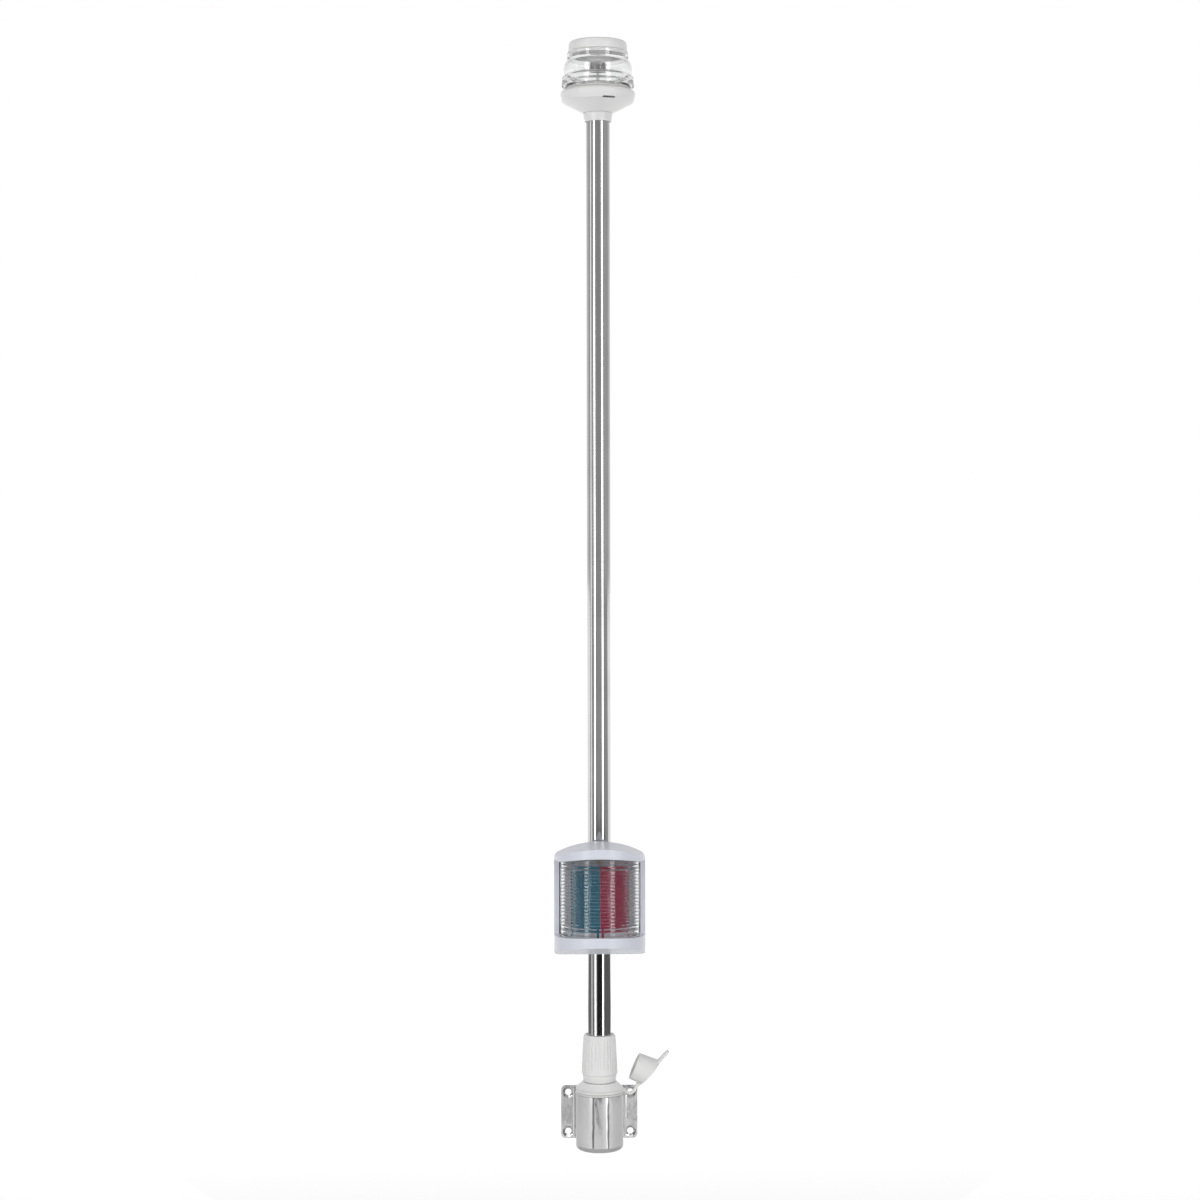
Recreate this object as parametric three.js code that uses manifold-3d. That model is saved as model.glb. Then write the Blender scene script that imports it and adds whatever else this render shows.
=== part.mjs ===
// A plug-in pole navigation light for a small boat: an all-round white light on a stainless
// pole, a bicolour sidelight on its front, and a wall socket that the pole plugs into.
// Millimetres, +Z up. The wall is the plane y = 0 and the front of the object faces -Y.
// The origin is the middle of the wall bracket's back face.
import * as THREE from "three";
import { mergeVertices } from "three/addons/utils/BufferGeometryUtils.js";
import Module from "manifold-3d";

const wasm = await Module();
wasm.setup();

// ---- Driving dimensions -------------------------------------------------------------------
const TURN = 2 * Math.PI;
const ROUND = 36; // sides of a large round part
const SMALL_ROUND = 12; // sides of a pin or screw
const GAP = 0.3; // clearance where two pieces meet
const CLEAR_HOLE = 0.3; // a hole's radius over its pin's
const PAST = 1; // how far a cutting tool runs past what it cuts

const TUBE = { r: 11, bore: 9.8 };
const AXIS_Y = -25.2; // the pole's axis, in front of the wall

const PLATE = { w: 72, h: 50, t: 2.5, corner: 4, bend: 3.4 };
const WALL_HOLE = { x: 29.3, z: 18.5, r: 3, sinkR: 5.2, sinkDepth: 1.8 };
const CUP = { r: 22.6, bore: 20.8, top: 23, bottom: -29.5, floor: 2, fillet: 5 };
const OUTLET = { r: 5, bore: 3.5, bottom: -32.5, flangeR: 8, flangeT: 1.5 };

const COLLAR = { r: 22.4, bottom: 24.3, coneBottom: 28.3, topR: 16.3, top: 33.9 };
const STRAP_GROOVE = { r: 19.4, bottom: 24.9, top: 27.9 };
const NECK = { r: 12, bore: 9.4, top: 46 };
const BARREL = { r: 13, bottom: -4, floor: 3, shoulder: 12, locateR: 20.4 };
const POST = { x: 12.6, r: 4, screwR: 1.5, headR: 4.1, headH: 1.8, screwTop: -12 };
const CONTACT = { r: 1.6, circle: 4.2, bottom: -10, top: 6 };
const CONTACT_ANGLES = { rear: Math.PI / 2, left: (7 * Math.PI) / 6, right: -Math.PI / 6 };

const PLUG = { r: 9.2, bottom: 9, floor: 5, spigotR: 9.5, bore: 6, top: 78 };
const PIN = { r: 1.2, circle: 4.2, top: 18 };
const FLANGE = { r: 11.9, bottom: NECK.top + GAP, top: 49 };
const SEAL_GROOVE = { r: 7.7, z: 36.1, half: 0.9, section: 0.72, ringR: 8.5 };
const WASHER = { bore: 11.3, bottom: 49.3, top: 50.5 };
const NUT = { bottom: 34.2, top: 78.3, wide: 43.3, wideR: 16.9, endR: 14.9 };
const NUT_BORE = { r: 12.2, guideR: 11.25, shoulder: 50.8 };
const FLUTE = { count: 24, r: 0.75, bottom: 46.5, top: 75 };
const RIVET = { r: 1.5, headR: 2.4, headT: 0.8, plugZ: 62, neckZ: 4 };

const HEAD_Z = 928; // underside of the head's neck
const TUBE_BOTTOM = FLANGE.top + GAP;
const TUBE_TOP = HEAD_Z + 15.6;
// From here to the sidelight, heights are measured from HEAD_Z.
const ADAPTER = { r: 12.4, topR: 13.5, top: 7.8, spigotR: 12.6, spigotTop: 15 };
const BASE = { hole: 12.9, bottom: 8.1, coneR: 32.5, coneTop: 18.1, maxR: 34.7, maxZ: 25.7 };
const BASE_RIM = { r: 30.8, z: 29.2, spigotR: 28.2, spigotTop: 33.2, bore: 26.4, floor: 10.9 };
const SLOT = { w: 11.8, bottom: 17.5, top: 19, depthR: 24, angle: Math.PI / 10 };
const LOCK_NUT = { bore: 12.9, bottom: 11.5, r: 15.2, shoulder: 12.8, top: 16 };
const LAMP_PLATE = { r: 25.9, bottom: 20, top: 22.5, bossR: 3.4, cableR: 3 };
const LAMP_SCREW = { x: 19, r: 1.3, tip: 15.8, headR: 2.8, crownR: 2.4, headH: 1.4, crownH: 1.8 };
const LAMP_SOCKET = { r: 7.8, top: 33, domeTop: 36.6, bore: 4.5, ceiling: 28 };
const LAMP = { stemR: 1.35, stemBottom: 28.3, r: 7.3, bottom: 46.3, top: 54.7, bandInset: 2.2 };
const SEAL = { r: 29.8, z: 30.05, section: 0.65 };
const HEAD_LENS = { foot: 30.9, bore: 26.4, boreBottom: 56.5, footBore: 28.6, footBoreTop: 40, top: 64.2 };
const BELT = { r: 13.4, z: 48.2, maxR: 31.7, from: -0.4, to: 0.715 }; // the bulge round the lamp
const BELT_HOLLOW = { x: 17.9, r: 11.4, from: 0.56, to: -0.42 }; // the belt's inner face
const LOW_RIDGE = { footR: 31.2, r: 33.5, bottom: 32.3, top: 35.2 };
const HIGH_RIDGE = { grooveR: 32.2, grooveZ: 36, r: 33.1, bottom: 37, top: 40.7 };
const LENS_WAIST = { r: 30.3, z: 42.6 };
const LENS_CROWN = { neckR: 28.2, neckZ: 57.6, r: 28.4, bottom: 59, top: 63, topR: 27.4 };
const HEAD_CAP = { bottom: 64.5, r: 27.3, topR: 25.6, top: 73.8, wall: 2.2, spigotR: 26.1, spigot: 3 };

const SIDE_BACK_Y = -18.3; // back face of the sidelight, from the pole's axis
const SIDE_Z = 157.5; // underside of the sidelight
// From here to the strap, heights are measured from SIDE_Z and depths from SIDE_BACK_Y.
const SIDE = { w: 84, corner: 5, crown: 103.6, crownR: 88, archX: 37.6, shoulder: 89, depth: 62.2 };
const UNDERSIDE = { y: -8, rise: 14.1 };
const TRAY = { front: -11, wall: 2.5 };
const COVER = { back: -12, stripY: -13.7, lipInset: 2.9, lipT: 1.5, lipBack: -8.6 };
const LENS = { r: 36.5, wall: 2.5, centreY: -23.7, backY: -12.4, bottom: 18.7, over: 1.8, slack: 0.4 };
const WINDOW = { x: 36.9, top: 89.4, bottom: 20.2, riseTop: 5.3, riseBottom: 2.8 };
const FILTER = { r: 27, wall: 1.5, bottom: 27.5, top: 85.5, backY: -12.8, split: 0.2 };
const FILTER_FOOT = { x: 2.2, w: 2 };
const CHIN = { halfW: 22, low: 4, high: 11, top: 14.4, frontY: -40 }; // the hollow in the cover's foot
const SADDLE = { w: 20, front: GAP, back: 12, bottom: 14, top: 90 };
const SIDE_SCREW = { r: 1.9, headR: 3.6, headT: 2.3, tip: 10.5, upper: 80.5, lower: 22.5 };
const REFLECTOR = { x: 30, bottom: 16, top: 88, back: -8.8, front: -10.4 };
const BULB = { z: 56, length: 36, r: 5.5, glass: 23.6, neckR: 3.4, capR: 4, tipR: 1.5, taper: 2 };
const BULB_CONTACT = { w: 6, t: 1.2, reach: 29, foot: 7 };
const CABLE_R = { head: 1.9, side: 1.6 };
const CABLE_X = 2.6; // each cable's offset inside the tube
const CABLE_BOTTOM = 19;
const SIDE_CABLE_Z = 50.5;
const GROMMET_R = 3.1;

const STRAP = { t: 2.2, w: 8, pivotX: 28.5, pivotZ: 22.6 }; // the cap's strap and its bend
const STRAP_FALL = [25.2, 23.9]; // the strap between its ring and its bend
const STRAP_CLIMB = [32.3, 25.2]; // the strap between its bend and the lid
const LID = { x: 35.2, z: 31.4, angle: 0.839, length: 42.5, r: 14.2, tabW: 10 }; // angle above level
const CAP = { r: 13.3, bore: 12.2, tilt: 0.314, shortSide: 9.6, start: 1.2 };

// ---- Materials ----------------------------------------------------------------------------
const finish = (color, roughness, metalness, more = {}) =>
  new THREE.MeshStandardMaterial({ color, roughness, metalness, ...more });
const STEEL = finish(0xc9cbcc, 0.12, 1);
const BRASS = finish(0xc9a35a, 0.35, 1);
const WHITE = finish(0xe9eaec, 0.4, 0);
const SOFT_WHITE = finish(0xe4e5e6, 0.55, 0);
const COOL_WHITE = finish(0xd8dbe3, 0.38, 0);
const GREY = finish(0x9a9c9e, 0.45, 0.3);
const RUBBER = finish(0x232426, 0.8, 0);
const SILICONE = finish(0xc9c9c7, 0.7, 0);
const CLEAR = finish(0xf2f5f6, 0.05, 0, { transparent: true, opacity: 0.35 });
const GREEN = finish(0x0f6f78, 0.2, 0, { transparent: true, opacity: 0.8 });
const RED = finish(0xa8142e, 0.2, 0, { transparent: true, opacity: 0.8 });

// ---- Joining and cutting ------------------------------------------------------------------
// A closed geometry as a manifold-3d solid with its faces turned out.
function solid(geometry) {
  const bare = new THREE.BufferGeometry().setAttribute("position", geometry.getAttribute("position"));
  if (geometry.index) bare.setIndex(geometry.index);
  const merged = mergeVertices(bare, 1e-4);
  const vertProperties = new Float32Array(merged.attributes.position.array);
  const corner = (k) => new THREE.Vector3(...vertProperties.subarray(3 * k, 3 * k + 3));
  const faces = [];
  let volume = 0;
  for (let i = 0; i < merged.index.count; i += 3) {
    const face = Array.from(merged.index.array.subarray(i, i + 3));
    if (new Set(face).size < 3) continue;
    const [a, b, c] = face.map(corner);
    volume += a.dot(b.cross(c));
    faces.push(face);
  }
  const triVerts = new Uint32Array(faces.flatMap((face) => (volume < 0 ? face.reverse() : face)));
  return new wasm.Manifold(new wasm.Mesh({ numProp: 3, vertProperties, triVerts }));
}

// A manifold-3d solid as a three.js geometry.
function geometryOf(body) {
  const { numVert, numProp, vertProperties, triVerts } = body.getMesh();
  const position = new Float32Array(numVert * 3);
  for (let i = 0; i < numVert; i++)
    position.set(vertProperties.subarray(i * numProp, i * numProp + 3), 3 * i);
  const g = new THREE.BufferGeometry().setAttribute("position", new THREE.BufferAttribute(position, 3));
  g.setIndex(new THREE.BufferAttribute(triVerts, 1));
  g.computeVertexNormals();
  return g;
}

const joined = (...parts) => geometryOf(parts.map(solid).reduce((sum, part) => sum.add(part)));
const common = (...parts) => geometryOf(parts.map(solid).reduce((rest, part) => rest.intersect(part)));
const cut = (part, ...tools) =>
  geometryOf(tools.map(solid).reduce((rest, tool) => rest.subtract(tool), solid(part)));

// A named mesh, with its faces turned out.
function piece(name, geometry, material) {
  const mesh = new THREE.Mesh(geometryOf(solid(geometry)), material);
  mesh.name = name;
  return mesh;
}

// Meshes in a group at its place.
function placed(x, y, z, ...meshes) {
  const group = new THREE.Group();
  group.position.set(x, y, z);
  return group.add(...meshes);
}

// ---- Basic shapes -------------------------------------------------------------------------
// A solid turned about Z from an [r, z] profile, which starts and ends on the axis or is closed.
function lathe(profile, sides = ROUND) {
  const points = profile.map(([r, z]) => new THREE.Vector2(r, z));
  if (profile[0][0] > 0) points.push(points[0].clone());
  return new THREE.LatheGeometry(points, sides).rotateX(Math.PI / 2);
}

// A cylinder from z0 to z1 whose axis stands at (x, y).
function rod(r, z0, z1, x = 0, y = 0, sides = SMALL_ROUND) {
  const g = new THREE.CylinderGeometry(r, r, z1 - z0, sides).rotateX(Math.PI / 2);
  return g.translate(x, y, (z0 + z1) / 2);
}

// A cylinder from y0 to y1 whose axis passes through (x, z).
function rodAlongY(r, y0, y1, x = 0, z = 0, sides = SMALL_ROUND) {
  return new THREE.CylinderGeometry(r, r, y1 - y0, sides).translate(x, (y0 + y1) / 2, z);
}

function box(x0, x1, y0, y1, z0, z1) {
  const g = new THREE.BoxGeometry(x1 - x0, y1 - y0, z1 - z0);
  return g.translate((x0 + x1) / 2, (y0 + y1) / 2, (z0 + z1) / 2);
}

const outlineOf = (points) => new THREE.Shape(points.map(([u, v]) => new THREE.Vector2(u, v)));

// A plan outline in x and y, raised from z0 to z1.
function raise(shape, z0, z1, curveSegments = 12) {
  const settings = { depth: z1 - z0, bevelEnabled: false, curveSegments };
  return new THREE.ExtrudeGeometry(shape, settings).translate(0, 0, z0);
}

// A front outline in x and z, carried from y0 back to y1.
function carry(shape, y0, y1, curveSegments = 12) {
  const settings = { depth: y1 - y0, bevelEnabled: false, curveSegments };
  return new THREE.ExtrudeGeometry(shape, settings).rotateX(Math.PI / 2).translate(0, y1, 0);
}

// A side outline in y and z, carried from x0 to x1.
function carrySideways(points, x0, x1) {
  const across = new THREE.Matrix4().makeBasis(
    new THREE.Vector3(0, 1, 0), new THREE.Vector3(0, 0, 1), new THREE.Vector3(1, 0, 0));
  const settings = { depth: x1 - x0, bevelEnabled: false };
  return new THREE.ExtrudeGeometry(outlineOf(points), settings).applyMatrix4(across).translate(x0, 0, 0);
}

// A round cable along a smooth path.
function cable(points, r, steps) {
  const extrudePath = new THREE.CatmullRomCurve3(points.map((p) => new THREE.Vector3(...p)));
  const section = new THREE.Shape().absarc(0, 0, r, 0, TURN);
  return new THREE.ExtrudeGeometry(section, { steps, extrudePath, bevelEnabled: false, curveSegments: 4 });
}

// A strip of even thickness along a smooth line in x and z, carried across its width.
function strip(points, thickness, width, samples = 10) {
  const line = new THREE.SplineCurve(points.map(([x, z]) => new THREE.Vector2(x, z)));
  const edge = (side) =>
    Array.from({ length: samples + 1 }, (_, i) => {
      const at = line.getPointAt(i / samples);
      const along = line.getTangentAt(i / samples);
      return [at.x - (side * along.y * thickness) / 2, at.y + (side * along.x * thickness) / 2];
    });
  return carry(outlineOf([...edge(1), ...edge(-1).reverse()]), -width / 2, width / 2);
}

function roundedRect(w, h, r) {
  const s = new THREE.Shape();
  s.absarc(w / 2 - r, h / 2 - r, r, 0, TURN / 4);
  s.absarc(r - w / 2, h / 2 - r, r, TURN / 4, TURN / 2);
  s.absarc(r - w / 2, r - h / 2, r, TURN / 2, (3 * TURN) / 4);
  s.absarc(w / 2 - r, r - h / 2, r, (3 * TURN) / 4, TURN);
  return s;
}

// Points [r, z] along an arc, for a profile.
function arcPoints(centreR, centreZ, radius, from, to, steps) {
  return Array.from({ length: steps + 1 }, (_, i) => {
    const a = from + ((to - from) * i) / steps;
    return [centreR + radius * Math.cos(a), centreZ + radius * Math.sin(a)];
  });
}

// A rubber ring of round section.
const ring = (r, z, section) => lathe(arcPoints(r, z, section, 0, (TURN * 5) / 6, 5));

const onCircle = (r, angle) => [r * Math.cos(angle), r * Math.sin(angle)];

// ---- Wall bracket and socket --------------------------------------------------------------
// Polished stainless bracket: a screw plate, a round cup with a rounded floor, bends between.
function wallBracket() {
  const { t, bend } = PLATE;
  const plan = new THREE.Shape();
  plan.absarc(0, AXIS_Y, CUP.r, TURN / 2, TURN);
  plan.absarc(CUP.r + bend, -t - bend, bend, TURN / 2, TURN / 4, true);
  plan.lineTo(CUP.r + bend, -t / 2);
  plan.lineTo(-CUP.r - bend, -t / 2);
  plan.absarc(-CUP.r - bend, -t - bend, bend, TURN / 4, 0, true);
  const floorTop = CUP.bottom + CUP.fillet;
  const rounding = arcPoints(CUP.r - CUP.fillet, floorTop, CUP.fillet, -TURN / 4, 0, 5);
  const cupFloor = lathe([[0, CUP.bottom], ...rounding, [CUP.r, 0], [0, 0]]).translate(0, AXIS_Y, 0);
  const sink = [
    [0, t - WALL_HOLE.sinkDepth],
    [WALL_HOLE.r, t - WALL_HOLE.sinkDepth],
    [WALL_HOLE.sinkR, t + 0.01],
    [0, t + 0.01],
  ];
  const wallHoles = [-1, 1].flatMap((sideX) =>
    [-1, 1].flatMap((sideZ) => {
      const [x, z] = [sideX * WALL_HOLE.x, sideZ * WALL_HOLE.z];
      return [
        rodAlongY(WALL_HOLE.r, -t - PAST, PAST, x, z, 16),
        lathe(sink, 16).rotateX(TURN / 4).translate(x, 0, z),
      ];
    }));
  const screwHoles = [-POST.x, POST.x].map((x) =>
    lathe(screwProfile(CLEAR_HOLE), SMALL_ROUND).translate(x, AXIS_Y, 0));
  const whole = joined(
    carry(roundedRect(PLATE.w, PLATE.h, PLATE.corner), -t, 0, 3),
    raise(plan, floorTop, CUP.top, ROUND / 4),
    cupFloor);
  return cut(whole,
    rod(CUP.bore, CUP.bottom + CUP.floor, CUP.top + PAST, 0, AXIS_Y, ROUND),
    rod(OUTLET.r + GAP, CUP.bottom - PAST, CUP.bottom + CUP.floor + PAST, 0, AXIS_Y, 24),
    ...wallHoles,
    ...screwHoles);
}

// The countersunk screw that holds the socket, or its hole where it is grown.
function screwProfile(grow) {
  const headBottom = CUP.bottom - grow / 10;
  const headTop = CUP.bottom + POST.headH + grow;
  return [
    [0, headBottom],
    [POST.headR + grow, headBottom],
    [POST.screwR + 0.4 + grow, headTop],
    [POST.screwR + grow, headTop],
    [POST.screwR + grow, POST.screwTop + grow],
    [0, POST.screwTop + grow],
  ];
}

// The tube that an outside cable leaves by, with a flange on the cup's floor.
function cableOutlet() {
  const seat = CUP.bottom + CUP.floor + GAP;
  return lathe([
    [OUTLET.bore, OUTLET.bottom],
    [OUTLET.r, OUTLET.bottom],
    [OUTLET.r, seat],
    [OUTLET.flangeR, seat],
    [OUTLET.flangeR, seat + OUTLET.flangeT],
    [OUTLET.bore, seat + OUTLET.flangeT],
  ], 24);
}

// The white socket: a barrel and two screw posts in the cup, a collar, and a neck for the nut.
function socketBody() {
  const turned = lathe([
    [0, BARREL.bottom],
    [BARREL.r, BARREL.bottom],
    [BARREL.r, BARREL.shoulder],
    [BARREL.locateR, BARREL.shoulder],
    [BARREL.locateR, COLLAR.bottom],
    [COLLAR.r, COLLAR.bottom],
    [COLLAR.r, STRAP_GROOVE.bottom],
    [STRAP_GROOVE.r, STRAP_GROOVE.bottom],
    [STRAP_GROOVE.r, STRAP_GROOVE.top],
    [COLLAR.r, STRAP_GROOVE.top],
    [COLLAR.r, COLLAR.coneBottom],
    [COLLAR.topR, COLLAR.top],
    [NECK.r, COLLAR.top],
    [NECK.r, NECK.top],
    [0, NECK.top],
  ]);
  const postBottom = CUP.bottom + CUP.floor + GAP;
  const posts = [-POST.x, POST.x].map((x) => rod(POST.r, postBottom, BARREL.shoulder + PAST, x));
  const screwHoles = [-POST.x, POST.x].map((x) =>
    lathe(screwProfile(CLEAR_HOLE), SMALL_ROUND).translate(x, 0, 0));
  const contactHoles = Object.values(CONTACT_ANGLES).map((angle) =>
    rod(CONTACT.r + CLEAR_HOLE, BARREL.bottom - PAST, PAST, ...onCircle(CONTACT.circle, angle)));
  return cut(joined(turned, ...posts),
    rod(NECK.bore, BARREL.bottom + BARREL.floor, NECK.top + PAST, 0, 0, ROUND),
    ...contactHoles,
    ...screwHoles);
}

function socketParts() {
  const contacts = Object.entries(CONTACT_ANGLES).map(([side, angle]) => {
    const contact = rod(CONTACT.r, CONTACT.bottom, CONTACT.top, ...onCircle(CONTACT.circle, angle));
    return piece(`socket_contact_${side}`, contact, BRASS);
  });
  const screws = Object.entries({ left: -POST.x, right: POST.x }).map(([side, x]) =>
    piece(`socket_screw_${side}`, lathe(screwProfile(0), SMALL_ROUND).translate(x, 0, 0), STEEL));
  const gasket = lathe([
    [BARREL.locateR + GAP, CUP.top + 0.15],
    [COLLAR.r, CUP.top + 0.15],
    [COLLAR.r, COLLAR.bottom - 0.15],
    [BARREL.locateR + GAP, COLLAR.bottom - 0.15],
  ]);
  return [
    piece("cable_outlet", cableOutlet(), RUBBER),
    piece("socket_gasket", gasket, SOFT_WHITE),
    piece("socket_body", socketBody(), WHITE),
    ...contacts,
    ...screws,
  ];
}

// ---- Flip cap -----------------------------------------------------------------------------
// The ring that holds the cap's strap in the collar's groove, up to the strap's bend.
function capStrapRing() {
  const [inner, outer] = [STRAP_GROOVE.r + GAP, COLLAR.r - 0.2];
  const [bottom, top] = [STRAP_GROOVE.bottom + GAP, STRAP_GROOVE.top - GAP];
  const band = lathe([[inner, bottom], [outer, bottom], [outer, top], [inner, top]]);
  const middle = (bottom + top) / 2;
  const bendStart = [STRAP.pivotX - STRAP.t / 2 - 0.35, STRAP.pivotZ + 0.2];
  const line = [[outer - 1.5, middle], [outer + 0.9, middle - 0.2], STRAP_FALL, bendStart];
  return joined(band, strip(line, STRAP.t, STRAP.w));
}

// The cap: a lid with a pull tab, a cup cut off at a slant on it, and the strap to its bend.
function protectiveCap() {
  const discX = CAP.start + CAP.r / Math.cos(CAP.tilt);
  const tab = new THREE.Shape();
  tab.absarc(LID.length - LID.tabW / 2, 0, LID.tabW / 2, -TURN / 4, TURN / 4);
  tab.lineTo(0, LID.tabW / 2);
  tab.lineTo(0, -LID.tabW / 2);
  const disc = new THREE.Shape().absarc(discX, 0, LID.r, 0, TURN);
  const mouthX = CAP.start - CAP.shortSide * Math.sin(CAP.tilt) + CAP.r * Math.cos(CAP.tilt);
  const mouthZ = CAP.shortSide * Math.cos(CAP.tilt) + CAP.r * Math.sin(CAP.tilt);
  const slanted = (r, past) =>
    rod(r, -3 * CAP.r, past, 0, 0, 28).rotateY(-CAP.tilt).translate(mouthX, 0, mouthZ);
  const above = (z) => box(-LID.length, 2 * LID.length, -LID.length, LID.length, z, LID.length);
  const lid = joined(raise(tab, -STRAP.t, 0), raise(disc, -STRAP.t, 0, 14),
    common(slanted(CAP.r, 0), above(-STRAP.t / 2)));
  const cup = cut(lid, common(slanted(CAP.bore, PAST), above(0)));
  cup.rotateY(-LID.angle).translate(LID.x, 0, LID.z);
  const line = [[STRAP.pivotX, STRAP.pivotZ], STRAP_CLIMB, [LID.x + 0.6, LID.z + 0.9]];
  const strap = strip(line, STRAP.t, STRAP.w);
  const knuckle = rodAlongY(STRAP.t / 2, -STRAP.w / 2, STRAP.w / 2, STRAP.pivotX, STRAP.pivotZ);
  return joined(cup, strap, knuckle);
}

// ---- Pole and plug ------------------------------------------------------------------------
function poleTube() {
  const shell = lathe([
    [TUBE.bore, TUBE_BOTTOM],
    [TUBE.r, TUBE_BOTTOM],
    [TUBE.r, TUBE_TOP],
    [TUBE.bore, TUBE_TOP],
  ]);
  const wallEnd = TUBE.r + PAST;
  return cut(shell,
    rodAlongY(RIVET.r + CLEAR_HOLE, TUBE.bore - PAST, wallEnd, 0, RIVET.plugZ),
    rodAlongY(RIVET.r + CLEAR_HOLE, TUBE.bore - PAST, wallEnd, 0, HEAD_Z + RIVET.neckZ),
    rodAlongY(SIDE_SCREW.r + CLEAR_HOLE, -wallEnd, PAST - TUBE.bore, 0, SIDE_Z + SIDE_SCREW.upper),
    rodAlongY(SIDE_SCREW.r + CLEAR_HOLE, -wallEnd, PAST - TUBE.bore, 0, SIDE_Z + SIDE_SCREW.lower),
    rodAlongY(GROMMET_R + CLEAR_HOLE, -wallEnd, PAST - TUBE.bore, 0, SIDE_Z + SIDE_CABLE_Z));
}

// The plug: a sealed nose with three pin holes, a flange on the socket's neck, a spigot above.
function polePlug() {
  const turned = lathe([
    [0, PLUG.bottom],
    [PLUG.r, PLUG.bottom],
    [PLUG.r, SEAL_GROOVE.z - SEAL_GROOVE.half],
    [SEAL_GROOVE.r, SEAL_GROOVE.z - SEAL_GROOVE.half],
    [SEAL_GROOVE.r, SEAL_GROOVE.z + SEAL_GROOVE.half],
    [PLUG.r, SEAL_GROOVE.z + SEAL_GROOVE.half],
    [PLUG.r, FLANGE.bottom],
    [FLANGE.r, FLANGE.bottom],
    [FLANGE.r, FLANGE.top],
    [PLUG.spigotR, FLANGE.top],
    [PLUG.spigotR, PLUG.top],
    [PLUG.bore, PLUG.top],
    [PLUG.bore, PLUG.bottom + PLUG.floor],
    [0, PLUG.bottom + PLUG.floor],
  ]);
  const pinHoles = Object.values(CONTACT_ANGLES).map((angle) =>
    rod(PIN.r + CLEAR_HOLE, PLUG.bottom - PAST, PLUG.bottom + PLUG.floor + PAST,
      ...onCircle(PIN.circle, angle)));
  const rivetHole = rodAlongY(RIVET.r + CLEAR_HOLE, PLUG.bore - PAST, PLUG.spigotR + PAST, 0, RIVET.plugZ);
  return cut(turned, rivetHole, ...pinHoles);
}

function plugParts() {
  const pins = Object.entries(CONTACT_ANGLES).map(([side, angle]) => {
    const pin = rod(PIN.r, CONTACT.top + GAP, PIN.top, ...onCircle(PIN.circle, angle));
    return piece(`plug_pin_${side}`, pin, BRASS);
  });
  return [
    piece("pole_plug", polePlug(), WHITE),
    ...pins,
    piece("plug_seal", ring(SEAL_GROOVE.ringR, SEAL_GROOVE.z, SEAL_GROOVE.section), RUBBER),
    piece("plug_rivet", rodAlongY(RIVET.r, PLUG.bore + GAP, TUBE.r - 0.2, 0, RIVET.plugZ), STEEL),
  ];
}

function cables() {
  const headEnd = HEAD_Z + 26;
  const straight = [0, 60, 200, 400, 600, 800].map((z) => [-CABLE_X, 0, CABLE_BOTTOM + z]);
  const headPath = [...straight, [-CABLE_X, 0, HEAD_Z - 20], [0, 0, HEAD_Z + 8], [0, 0, headEnd]];
  const exitZ = SIDE_Z + SIDE_CABLE_Z;
  const sidePath = [
    [CABLE_X, 0, CABLE_BOTTOM],
    [CABLE_X, 0, 80],
    [CABLE_X, 0, exitZ - 22],
    [CABLE_X * 0.8, -1, exitZ - 11],
    [CABLE_X * 0.2, -5, exitZ - 2],
    [0, -TUBE.r, exitZ],
    [0, SIDE_BACK_Y, exitZ],
    [0, SIDE_BACK_Y - 8, exitZ],
  ];
  const sleeve = rodAlongY(GROMMET_R, -TUBE.r - 1.6, 1 - TUBE.bore, 0, exitZ, 16);
  const passage = rodAlongY(CABLE_R.side + 0.7, -TUBE.r - 3, 2 - TUBE.bore, 0, exitZ, 16);
  return [
    piece("head_cable", cable(headPath, CABLE_R.head, 44), RUBBER),
    piece("side_cable", cable(sidePath, CABLE_R.side, 56), RUBBER),
    piece("tube_grommet", cut(sleeve, passage), RUBBER),
  ];
}

// ---- Ring nut -----------------------------------------------------------------------------
// A fluted nut that screws on the socket's neck and holds the plug's flange down.
function ringNut() {
  const [low, high] = [NUT.wide - 2.6, NUT.top - 1.4];
  const turned = lathe([
    [NUT_BORE.r, NUT.bottom],
    [NUT.endR - 0.5, NUT.bottom],
    [NUT.endR, NUT.bottom + 0.8],
    [NUT.wideR - 0.9, low - 0.5],
    [NUT.wideR - 1.2, low],
    [NUT.wideR - 0.5, low + 0.6],
    [NUT.wideR, NUT.wide],
    [NUT.endR + 0.2, high],
    [NUT.endR - 1, NUT.top],
    [NUT_BORE.guideR, NUT.top],
    [NUT_BORE.guideR, NUT_BORE.shoulder],
    [NUT_BORE.r, NUT_BORE.shoulder],
  ]);
  const slope = Math.atan2(NUT.wideR - NUT.endR - 0.2, high - NUT.wide);
  const half = (FLUTE.top - FLUTE.bottom) / 2;
  const middle = (FLUTE.top + FLUTE.bottom) / 2;
  const radius = NUT.wideR - (middle - NUT.wide) * Math.tan(slope) + FLUTE.r / 2;
  const flutes = Array.from({ length: FLUTE.count }, (_, i) =>
    rod(FLUTE.r, -half, half, 0, 0, 6)
      .rotateY(-slope).translate(radius, 0, middle).rotateZ((TURN * i) / FLUTE.count));
  return cut(turned, ...flutes);
}

function thrustWasher() {
  const { bore, bottom, top } = WASHER;
  return lathe([[bore, bottom], [FLANGE.r, bottom], [FLANGE.r, top], [bore, top]]);
}

// ---- Head ---------------------------------------------------------------------------------
function neckAdapter() {
  const bore = TUBE.r + GAP;
  const turned = lathe([
    [bore, 0],
    [ADAPTER.r, 0],
    [ADAPTER.topR, ADAPTER.top],
    [ADAPTER.spigotR, ADAPTER.top],
    [ADAPTER.spigotR, ADAPTER.spigotTop],
    [bore, ADAPTER.spigotTop],
  ]);
  return cut(turned, rodAlongY(RIVET.r + CLEAR_HOLE, bore - PAST, ADAPTER.topR + PAST, 0, RIVET.neckZ));
}

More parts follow.
